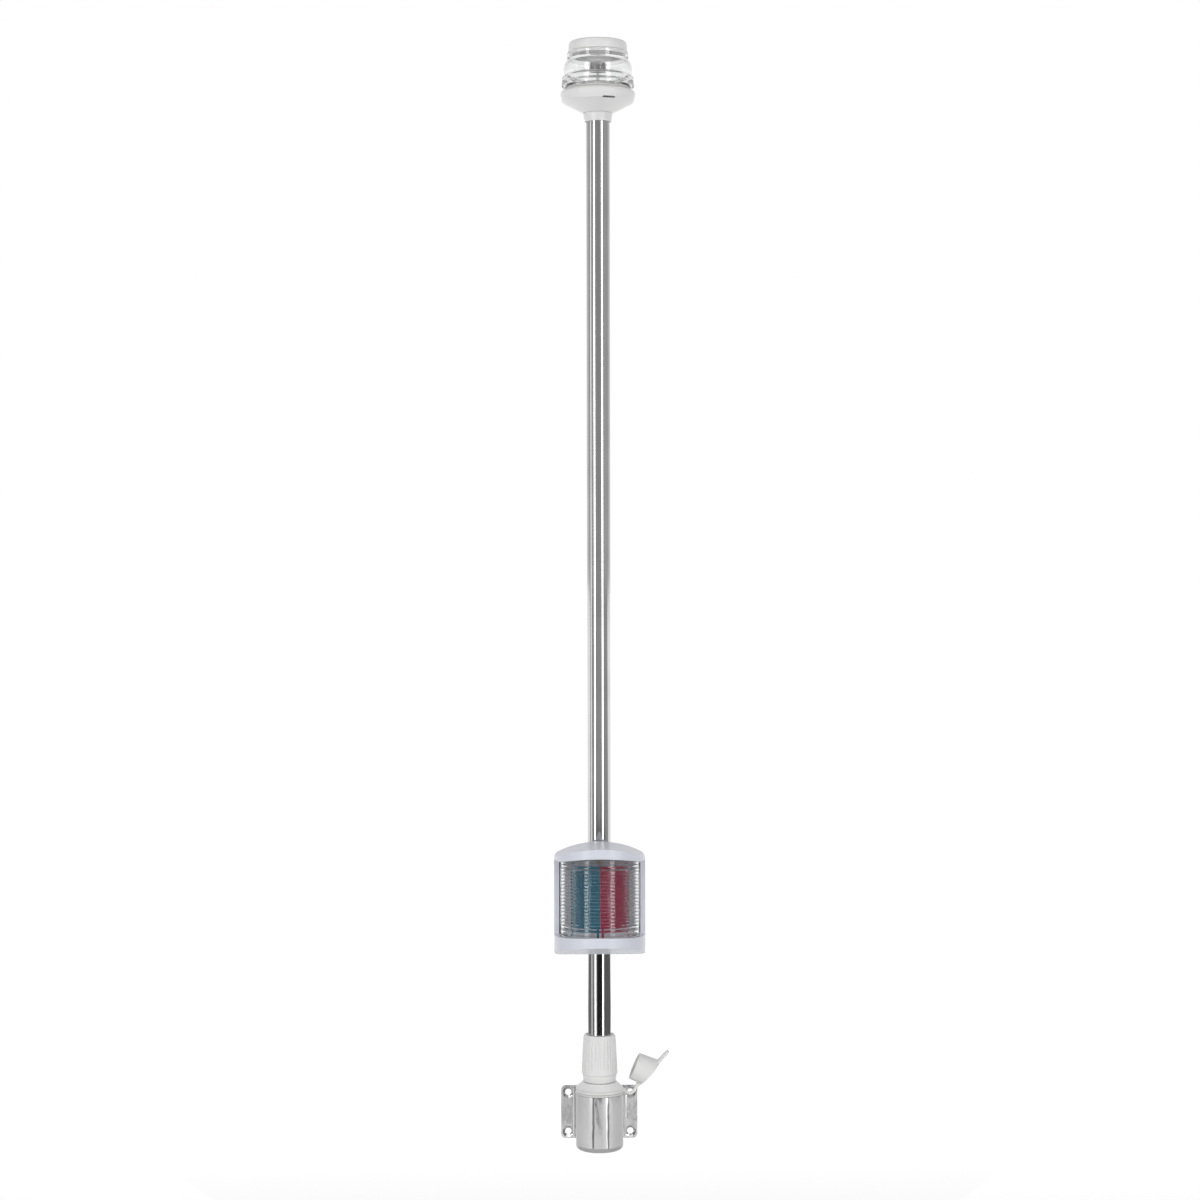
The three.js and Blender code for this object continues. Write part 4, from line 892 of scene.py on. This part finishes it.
SIDE = {"w": 84.0, "corner": 5.0, "crown": 103.6, "crown_r": 88.0, "arch_x": 37.6, "shoulder": 89.0,
        "shoulder_pull": 4.2, "depth": 62.2}
UNDERSIDE = {"y": -8.0, "rise": 14.1}
TRAY = {"front": -11.0, "wall": 2.5}
COVER = {"back": -12.0, "strip_y": -13.7, "lip_inset": 2.9, "lip_t": 1.5, "lip_back": -8.6}
LENS = {"r": 36.5, "wall": 2.5, "centre_y": -23.7, "back_y": -12.4, "bottom": 18.7, "top": 91.2,
        "slack": 0.4, "lift_from": 83.0, "lift_run": 7.5}
WINDOW = {"x": 36.9, "top": 89.4, "bottom": 20.2, "rise_top": 5.3, "rise_bottom": 2.8}
RIBS = {"pitch": 3.08, "count": 17, "start": 31.15, "end": 83.6, "depth": 0.42, "side_fade": 0.5}
LEG_STEPS = 5
RIB_FORM = ((0.01, 0.0), (0.04, 0.35), (0.09, 0.70), (0.16, 0.92), (0.25, 1.0), (0.745, 1.0), (0.965, 0.0))
FILTER = {"r": 27.0, "wall": 1.5, "bottom": 27.5, "top": 85.5, "back_y": -12.8, "split": 0.2}
SIDE_SCREW = {"r": 1.9, "hole_r": 2.2, "head_r": 3.6, "tip": 10.5, "zs": (("upper", 80.5), ("lower", 22.5))}
OVER_TOP = 120


def to_side(obj):
    """Puts a piece made in the sidelight's own place into the light's frame."""
    return shifted(obj, 0, SIDE_BACK_Y, SIDE_Z)


def side_outline(inset=0.0):
    """The front outline: rounded lower corners, straight sides, an arched top."""
    x = SIDE["w"] / 2 - inset
    r = SIDE["corner"] - min(inset, 3)
    arch_r = SIDE["crown_r"] - inset
    arch_x = SIDE["arch_x"] - inset
    arch_z = SIDE["crown"] - SIDE["crown_r"]
    turn = math.acos(arch_x / arch_r) / TURN
    start = Vector((x, SIDE["shoulder"]))
    pull = Vector((x, SIDE["shoulder"] + SIDE["shoulder_pull"]))
    end = Vector((arch_x, arch_z + arch_r * math.sin(TURN * turn)))
    right = []
    for i in range(9):
        t = i / 8
        point = start * (1 - t) ** 2 + pull * 2 * t * (1 - t) + end * t * t
        right.append((point.x, point.y))
    left = [(-u, v) for u, v in reversed(right)]
    arch = arc(0, arch_z, arch_r, turn, 0.5 - turn, 40)[1:-1]
    low_right = arc(x - r, inset + r, r, -0.25, 0, 10)
    return low_right + right + arch + left + arc(r - x, inset + r, r, 0.5, 0.75, 10)


def side_envelope(name):
    """The sidelight's outer form, with a rounded front and a sloping underside."""
    half, strip_y = SIDE["w"] / 2, COVER["strip_y"]
    reach = SIDE["depth"] + strip_y
    form = prism(name, side_outline(), -SIDE["depth"] - 1, 0, "y")
    round_front = [(half * u, strip_y + reach * v) for u, v in arc(0, 0, 1, 0.5, 1, 96)]
    plan = [(-half - 1, 1), (-half - 1, strip_y), *round_front, (half + 1, strip_y), (half + 1, 1)]
    y, front = UNDERSIDE["y"], -70
    slope = UNDERSIDE["rise"] / (SIDE["depth"] + y)
    flank = [(1, -1), (y, -1), (y, 0), (front, slope * (y - front)), (front, OVER_TOP), (1, OVER_TOP)]
    limits = [prism("plan", plan, -2, OVER_TOP, "z"), prism("flank", flank, -90, 90, "x")]
    return boolean(form, limits, "INTERSECT")


def arched_window(x, bottom, top, rise_bottom, rise_top, reach):
    """The window's outline, with arched edges between straight ends."""

    def arch(z, rise):
        r = (x * x + rise * rise) / (2 * rise)
        across = [x * (2 * i / 48 - 1) for i in range(49)]
        return [(u, z + rise - r + math.sqrt(r * r - u**2)) for u in across]

    low = arch(bottom, rise_bottom) if rise_bottom > 0 else [(-x, bottom), (x, bottom)]
    high = reversed(arch(top, rise_top))
    clean = []
    for point in [(-reach, bottom), *low, (reach, bottom), (reach, top), *high, (-reach, top)]:
        if not clean or (Vector(point) - Vector(clean[-1])).length > 1e-4:
            clean.append(point)
    return clean


def station(a):
    """A station on the half-round front, at an angle from straight ahead: a centre and a way out."""
    return Vector((0, LENS["centre_y"])), Vector((math.sin(a), -math.cos(a)))


def u_path(back_y, steps):
    """Stations round a half-round plan with straight legs to the back."""
    centre_y = LENS["centre_y"]
    leg = centre_y - back_y
    left = [(Vector((0, back_y + leg * i / LEG_STEPS)), Vector((-1, 0))) for i in range(LEG_STEPS)]
    bend = [(Vector((0, centre_y)), Vector(out)) for out in arc(0, 0, 1, 0.5, 1, steps)]
    right = [(Vector((0, centre_y - leg * i / LEG_STEPS)), Vector((1, 0))) for i in range(1, LEG_STEPS + 1)]
    return left + bend + right


def swept_shell(name, stations, section_at):
    """A shell whose (r, z) section follows stations; it may change with the way out."""
    sections = []
    for centre, out in stations:
        places = [(centre + out * r, z) for r, z in section_at(out)]
        sections.append([(place.x, place.y, z) for place, z in places])
    return loft(name, sections, 30)


def lens_top(x):
    rise, half = WINDOW["rise_top"], LENS["r"]
    r = (half * half + rise * rise) / (2 * rise)
    return LENS["top"] + rise - r + math.sqrt(max(0.0, r * r - x * x))


def rib_profile():
    """The lens's outer face from its foot up: broad ridges, fine ribs, and broad ridges again."""
    r = LENS["r"]
    groove, ridge = r - 0.95, r - 0.3
    points = eased([
        (r, LENS["bottom"]), (r, 22.4, 0.5), (groove, 23.2, 0.5), (ridge, 25.4, 0.7), (groove, 27.6, 0.5),
        (ridge, 28.8, 0.5), (ridge, 30.2, 0.5), (groove, 31.0),
    ], 0.4)
    for k in range(RIBS["count"]):
        for across, out in RIB_FORM:
            points.append((r - RIBS["depth"] * (1 - out), RIBS["start"] + RIBS["pitch"] * (k + across)))
    return points + eased([
        (groove, RIBS["end"]), (ridge, 84.4, 0.4), (ridge, 85.2, 0.4), (groove, 86.0, 0.5),
        (ridge, 87.4, 0.6), (groove, 88.9, 0.5), (r, 89.9, 0.4), (r, LENS["top"]),
    ], 0.4)


def side_lens():
    """The sidelight's half-round lens; its ribs fade at the sides and its top follows the arch."""
    outer = rib_profile()
    r = LENS["r"]

    def section(out):
        top = lens_top(out.x * r)
        fade = 1 - RIBS["side_fade"] * min(1, max(0, (abs(out.x) - 0.7) / 0.2))
        ring = []
        for rib_r, z in outer:
            share = min(1, max(0, (z - LENS["lift_from"]) / LENS["lift_run"]))
            ring.append((r - (r - rib_r) * fade, z + (top - LENS["top"]) * share))
        return ring + [(r - LENS["wall"], top), (r - LENS["wall"], LENS["bottom"])]

    lens = swept_shell("side_lens_ribbed", u_path(LENS["back_y"], 120), section)
    lens.visible_shadow = False
    finish_piece(to_side(lens), SIDE_CLEAR_SHADED, "cover", "side_lens")


def filter_half(node, material, way):
    """One colour filter: a quarter-round shell with two small feet."""
    r, inner_r = FILTER["r"], FILTER["r"] - FILTER["wall"]
    half = [s for s in u_path(FILTER["back_y"], 96) if s[1].x > 0.004]
    half[0] = station(math.asin(FILTER["split"] / r))
    section = fillet(box(inner_r, FILTER["bottom"], r, FILTER["top"]), 0.3, 3)
    shell = swept_shell(node + "_shell", half, lambda out: section)
    foot = box(inner_r, LENS["bottom"] - LENS["slack"] + 0.3, r, FILTER["bottom"] + 1)
    turn, foot_turn = math.asin(2.2 / r), 0.074
    feet = []
    for start in (turn - foot_turn / 2, TURN / 4 - foot_turn):
        places = [station(start + foot_turn * i / 4) for i in range(5)]
        feet.append(swept_shell("foot", places, lambda out: foot))
    boolean(shell, feet, "UNION")
    if way < 0:
        outward(moved(shell, Matrix.Scale(-1, 4, (1, 0, 0))))
    shade(shell)
    shell.visible_shadow = False
    finish_piece(to_side(shell), material, "cover", node)


def side_tray():
    """The tray on the pole that the cover closes."""
    half = SIDE["w"] / 2 + 2
    tray = side_envelope("side_tray")
    boolean(tray, [prism("keep", box(-half, TRAY["front"], half, 2), -3, OVER_TOP, "z")], "INTERSECT")
    cutters = [prism("hollow", side_outline(TRAY["wall"]), TRAY["front"] - 1, -TRAY["wall"], "y")]
    cutters += [cross_drill(SIDE_SCREW["hole_r"], -1, 4, 0, z) for _, z in SIDE_SCREW["zs"]]
    cutters.append(cross_drill(SIDE_SCREW["hole_r"], -1, 4, 0, SIDE_EXIT))
    boolean(tray, cutters)
    softened(tray, 0.5)
    finish_piece(to_side(tray), COOL_WHITE, "pole", "side_housing")


def side_cover():
    """The cover with its visor, side strips and chin, and the lip that enters the tray."""
    half, back = SIDE["w"] / 2 + 2, COVER["back"]
    cover = side_envelope("side_cover_shell")
    boolean(cover, [prism("front", box(-half, -70, half, back), -3, OVER_TOP, "z")], "INTERSECT")
    lip = prism("lip", side_outline(COVER["lip_inset"]), back - 0.5, COVER["lip_back"], "y")
    inner = side_outline(COVER["lip_inset"] + COVER["lip_t"])
    boolean(lip, [prism("inner", inner, back - 1, COVER["lip_back"] + 1, "y")])
    boolean(cover, [lip], "UNION")
    rises = WINDOW["rise_bottom"], WINDOW["rise_top"]
    opening = arched_window(WINDOW["x"], WINDOW["bottom"], WINDOW["top"], *rises, SIDE["w"])
    cut = prism("opening", opening, -70, COVER["strip_y"], "y")
    slack = LENS["slack"]
    lens_r, seat_y = LENS["r"] + slack, LENS["back_y"] + 3
    seat = [(-lens_r, seat_y), *arc(0, LENS["centre_y"], lens_r, 0.5, 1, 120), (lens_r, seat_y)]
    pocket = prism("pocket", seat, 0, OVER_TOP, "z")
    low, high = LENS["bottom"] - slack, LENS["top"] + slack
    faces = arched_window(lens_r, low, high, 0, WINDOW["rise_top"], lens_r)
    boolean(pocket, [prism("faces", faces, -70, 0, "y")], "INTERSECT")
    chin = [(1, 4), (-14, 4), (-40, 11), (-40, 14.4), (1, 14.4)]
    boolean(cover, [cut, pocket, prism("chin", chin, -22, 22, "x")])
    softened(cover, 0.55)
    finish_piece(to_side(cover), COOL_WHITE, "cover", "side_cover")


def side_gasket():
    """The rubber band between the tray and the cover."""
    gasket = prism("side_gasket_band", side_outline(0.7), COVER["back"] + 0.15, TRAY["front"] - 0.15, "y")
    boolean(gasket, [prism("inner", side_outline(2.3), -14, -9, "y")])
    trim = prism("trim", box(-90, 1.8, 90, SIDE["crown"] - 1.2), -70, 2, "y")
    boolean(gasket, [trim], "INTERSECT")
    softened(gasket, 0.15, 2)
    finish_piece(to_side(gasket), RUBBER, "pole", "side_gasket")


def side_saddle():
    """The block between the tube and the tray."""
    saddle = prism("saddle_block", fillet(box(-10, 0.3, 10, 12), 1.0), 14, 90, "z")
    tools = [rod(TUBE_R + 0.3, 10, 95, 160, (0, AXIS_Y - SIDE_BACK_Y))]
    tools += [cross_drill(SIDE_SCREW["hole_r"], -14, 1, 0, z) for _, z in SIDE_SCREW["zs"]]
    tools.append(cross_drill(3.7, -14, 1, 0, SIDE_EXIT))
    boolean(saddle, tools)
    softened(saddle, 0.3)
    finish_piece(to_side(saddle), COOL_WHITE, "pole", "pole_saddle")


def side_reflector():
    sheet = prism("reflector_sheet", fillet(box(-30, 16, 30, 88), 2.5, 6), -10.4, -8.8, "y")
    softened(sheet, 0.3)
    finish_piece(to_side(sheet), REFLECTOR_SHADED_GREY, "pole", "side_reflector")


def lens_gap_shade_beads():
    """Dark beads in the gaps between the lens and the cover's side strips: painted shade for those gaps."""
    low, high = WINDOW["bottom"] + 0.2, WINDOW["top"] - 0.2
    for side, x in (("left", -LENS["r"] - 0.3), ("right", LENS["r"] + 0.3)):
        bead = fillet(box(x - 0.5, -14.4, x + 0.5, -12.6), 0.3)
        sections = [[(u, v, z) for u, v in bead] for z in (low, low + 1, high - 1, high)]
        finish_piece(to_side(loft("side_lens_gap_shade_" + side, sections)), RUBBER, "cover")


def side_bulb():
    """The tubular bulb across the sidelight's middle, its end caps and its spring contacts."""
    z, y = 56.0, LENS["centre_y"]
    glass = eased([
        (0, -11.8), (3.4, -11.8, 0.3), (5.5, -9.8, 1.5), (5.5, 9.8, 1.5), (3.4, 11.8, 0.3), (0, 11.8),
    ], 0.3, 6)
    finish_piece(to_side(lathe("festoon_glass", glass, 64, (0, y), z)), GLASS, "pole", "side_bulb_glass")
    cap = eased([
        (0, 18.0), (1.5, 18.0, 0.5), (4.0, 16.0, 0.6), (4.0, 13.4, 0.3), (3.7, 13.0, 0.2), (4.0, 12.6, 0.2),
        (4.0, 12.1, 0.1), (0, 12.1),
    ], 0.2)
    strip = fillet([
        (-29.0, 18.3), (-10.7, 18.3), (-10.7, 25.3), (-11.9, 25.3), (-11.9, 19.5), (-29.0, 19.5),
    ], 0.5)
    for side, way in (("upper", 1), ("lower", -1)):
        end = lathe("festoon_cap_" + side, [(r, z + way * h) for r, h in cap], 48, (0, y))
        finish_piece(to_side(end), SCREW_STEEL, "pole", "side_bulb_cap_" + side)
        contact = prism("festoon_contact_" + side, [(u, z + way * h) for u, h in strip], -3, 3, "x")
        softened(contact, 0.2, 2)
        finish_piece(to_side(contact), BRASS, "pole", "side_contact_" + side)


def side_screws():
    """The two screws through the tray and the saddle into the tube."""
    r, head_r, tip = SIDE_SCREW["r"], SIDE_SCREW["head_r"], SIDE_SCREW["tip"]
    profile = [(0, -tip), (r * 0.6, -tip), (r, 1.2 - tip), (r, 2.8), (head_r, 2.8), (head_r * 0.97, 4.0)]
    profile += [(head_r * 0.7, 4.9), (0, 5.1)]
    for side, height in SIDE_SCREW["zs"]:
        screw = screw_with_cross("side_fixing_" + side, profile, (0, 0), 5.1, 1.9, 1.2)
        finish_piece(to_side(laid(screw, 0, 0, height)), SCREW_STEEL, "pole", "side_screw_" + side)


# ---- Build the light ---------------------------------------------------------------------

for make in (
    wall_bracket, socket_body, socket_posts, socket_gasket, cable_outlet, contacts, socket_screws,
    ring_nut, thrust_washer, pole_plug, pole_tube, cables, flip_cap, cap_strap,
    neck_sleeve, head_dish, head_lock_ring, head_cap_disc, head_lens, lamp_plate, lamp, head_seal,
    neck_rivet,
    side_cover, side_tray, side_gasket, side_lens,
):
    make()
filter_half("green_filter", GREEN, -1)
filter_half("red_filter", RED, 1)
for make in (side_saddle, side_reflector, lens_gap_shade_beads, side_bulb, side_screws):
    make()

# ---- Room, lights and camera -------------------------------------------------------------

FLOOR_Z = -0.30
CAMERA = {"distance": 2.272, "height": 0.5335, "azimuth": -0.8, "aim": -0.83, "tilt": -1.238, "roll": -0.10,
          "lens": 73.14}
ROOM_LEVELS = ((0.0, 0.36), (0.10, 0.48), (0.42, 0.52), (0.55, 0.46), (0.75, 0.72), (1.0, 1.05))


def studio_world():
    """A soft room that is brightest behind the light, and a white backdrop for the camera."""
    world = bpy.data.worlds.new("studio")
    bpy.context.scene.world = world
    world.use_nodes = True
    tree = world.node_tree
    room = tree.nodes["Background"]
    toward = tree.nodes.new("ShaderNodeSeparateXYZ")
    coords = tree.nodes.new("ShaderNodeTexCoord")
    tree.links.new(coords.outputs["Generated"], toward.inputs["Vector"])
    share = tree.nodes.new("ShaderNodeMapRange")
    share.inputs["From Min"].default_value = -1
    tree.links.new(toward.outputs["Y"], share.inputs["Value"])
    ramp = tree.nodes.new("ShaderNodeValToRGB")
    tree.links.new(share.outputs["Result"], ramp.inputs["Fac"])
    marks = ramp.color_ramp.elements
    while len(marks) < len(ROOM_LEVELS):
        marks.new(0.5)
    for mark, (place, level) in zip(marks, ROOM_LEVELS):
        mark.position = place
        mark.color = (level, level, level, 1)
    tree.links.new(ramp.outputs["Color"], room.inputs["Color"])
    fall = tree.nodes.new("ShaderNodeMapRange")
    fall.inputs["To Min"].default_value = 1.0
    fall.inputs["To Max"].default_value = 0.45
    tree.links.new(toward.outputs["Z"], fall.inputs["Value"])
    tree.links.new(fall.outputs["Result"], room.inputs["Strength"])
    backdrop = tree.nodes.new("ShaderNodeBackground")
    backdrop.inputs["Color"].default_value = (1, 1, 1, 1)
    path = tree.nodes.new("ShaderNodeLightPath")
    mix = tree.nodes.new("ShaderNodeMixShader")
    tree.links.new(path.outputs["Is Camera Ray"], mix.inputs["Fac"])
    tree.links.new(room.outputs["Background"], mix.inputs[1])
    tree.links.new(backdrop.outputs["Background"], mix.inputs[2])
    tree.links.new(mix.outputs["Shader"], tree.nodes["World Output"].inputs["Surface"])


def soft_box(name, place, turned, width, height, radiance):
    """A rectangular studio light of a given radiance, in metres."""
    data = bpy.data.lights.new(name, "AREA")
    data.shape = "RECTANGLE"
    data.size = width
    data.size_y = height
    data.energy = radiance * math.pi * width * height
    light = bpy.data.objects.new(name, data)
    bpy.context.scene.collection.objects.link(light)
    light.location = place
    light.rotation_euler = turned
    return data


def lights():
    """Tall soft boxes at both sides, one overhead, and a narrow one on the collar."""
    for name, azimuth, away, width, height, z, radiance in (
        ("left_box", -40, 1.75, 0.37, 2.5, 0.6, 3.9),
        ("right_box", 36.5, 1.75, 0.40, 2.5, 0.6, 3.9),
        ("far_left_box", -79, 1.75, 0.31, 2.5, 0.6, 1.0),
        ("low_right_box", 33.5, 0.95, 0.03, 0.12, -0.23, 2.2),
    ):
        turn = math.radians(azimuth)
        place = (away * math.sin(turn), AXIS_Y * MM - away * math.cos(turn), z)
        soft_box(name, place, (TURN / 4, 0, turn), width, height, radiance)
    soft_box("top_box", (0, -1.91, 3.04), (math.radians(37), 0, 0), 4.6, 0.55, 1.72)
    collar_box = soft_box("collar_box", (0, -1.0, 0.75), (math.radians(49.6), 0, 0), 0.8, 0.25, 0.22)
    collar_box.spread = math.radians(60)


def room_floor(name, height, pale, front_glow, back_glow):
    """A pale floor that brightens softly behind the light."""
    reach = 40000
    corners = [(x, y, 0) for x, y in box(-reach, -reach, reach, reach)]
    floor = mesh_object(name, corners, [(0, 1, 2, 3)])
    floor.location.z = height
    cloth = Nodes("pale_" + name, Roughness=0.9, Emission_Color=(1, 1, 1, 1))
    cloth.tint(cloth.noise(3, 3), (pale * 0.97,) * 3, (pale * 1.03,) * 3)
    place = cloth.add("SeparateXYZ")
    cloth.link(cloth.position, place.inputs["Vector"])
    sweep = cloth.spread(place.outputs["Y"], front_glow, back_glow, 0.3, 1.1)
    cloth.link(sweep, cloth.shader.inputs["Emission Strength"])
    floor.data.materials.append(cloth.material)
    return floor


def floors():
    """The floor that lights the object, and the even face of it that only the camera sees."""
    room_floor("floor", FLOOR_Z, 0.68, 0.12, 0.9)
    face = room_floor("floor_face", FLOOR_Z + MM, 0.02, 0.80, 1.0)
    face.visible_glossy = False
    face.visible_diffuse = False
    face.visible_shadow = False
    face.visible_transmission = False


def card(name, corners, level, glow=0.0):
    """A grey studio card that only shows in reflections."""
    obj = mesh_object(name, corners, [tuple(range(len(corners)))])
    cloth = Nodes(name, Roughness=1.0, Emission_Strength=glow, Emission_Color=(1, 1, 1, 1))
    cloth.tint(cloth.noise(40, 2), (level * 0.8,) * 3, (level * 1.2,) * 3)
    obj.data.materials.append(cloth.material)
    obj.visible_camera = False
    obj.visible_diffuse = False
    obj.visible_shadow = False
    obj.visible_transmission = False


def cards():
    """Upright flags in front of the light, and cards and fans just over the floor round it."""
    card("front_flag", [(x, -1200, z) for x, z in box(-420, -235, 560, 0)], 0.015)
    # A dark card seen only in reflections. It paints a dark patch of reflection low on the cup.
    dark_patch_corners = [(-560, -240), (330, -296), (330, -299), (-560, -262)]
    card("cup_dark_reflection_flag", [(x, -1190, z) for x, z in dark_patch_corners], 0.06)
    low = FLOOR_Z / MM + 2
    for name, corners, level in (
        ("front_card", box(-4000, -5000, 4000, -1650), 0.25),
        ("right_card", box(1250, -1640, 4000, 1700), 0.28),
        ("left_card", box(-4000, -1200, -1250, 1700), 0.4),
    ):
        card(name, [(x, y, low) for x, y in corners], level)
    for name, start, end, near, far, level, glow in (
        ("left_wedge", -36, -27, 850, 1600, 0.3, 0.0),
        ("right_wedge", 38, 46, 850, 1600, 0.3, 0.0),
        ("front_glow", -27, 38, 900, 1500, 0.8, 0.35),
        ("left_glow", -150, -36, 900, 1500, 0.8, 0.35),
        ("right_glow", 46, 150, 900, 1500, 0.8, 0.35),
    ):
        turns = [math.radians(start + (end - start) * i / 12) for i in range(13)]
        rims = [(far, a) for a in turns] + [(near, a) for a in reversed(turns)]
        card(name, [(r * math.sin(a), AXIS_Y - r * math.cos(a), low + 1) for r, a in rims], level, glow)


def camera():
    """The camera, straight in front of the light at the height of its middle."""
    data = bpy.data.cameras.new("camera")
    data.lens = CAMERA["lens"]
    obj = bpy.data.objects.new("camera", data)
    bpy.context.scene.collection.objects.link(obj)
    azimuth = math.radians(CAMERA["azimuth"])
    away = CAMERA["distance"]
    place = Vector((away * math.sin(azimuth), AXIS_Y * MM - away * math.cos(azimuth), CAMERA["height"]))
    turn = Matrix.Rotation(math.radians(CAMERA["aim"]), 4, "Z")
    turn = turn @ Matrix.Rotation(TURN / 4 + math.radians(CAMERA["tilt"]), 4, "X")
    roll = Matrix.Rotation(math.radians(CAMERA["roll"]), 4, "Z")
    obj.matrix_world = Matrix.Translation(place) @ turn @ roll
    bpy.context.scene.camera = obj


studio_world()
lights()
floors()
cards()
camera()
bpy.context.scene.view_settings.view_transform = "Standard"
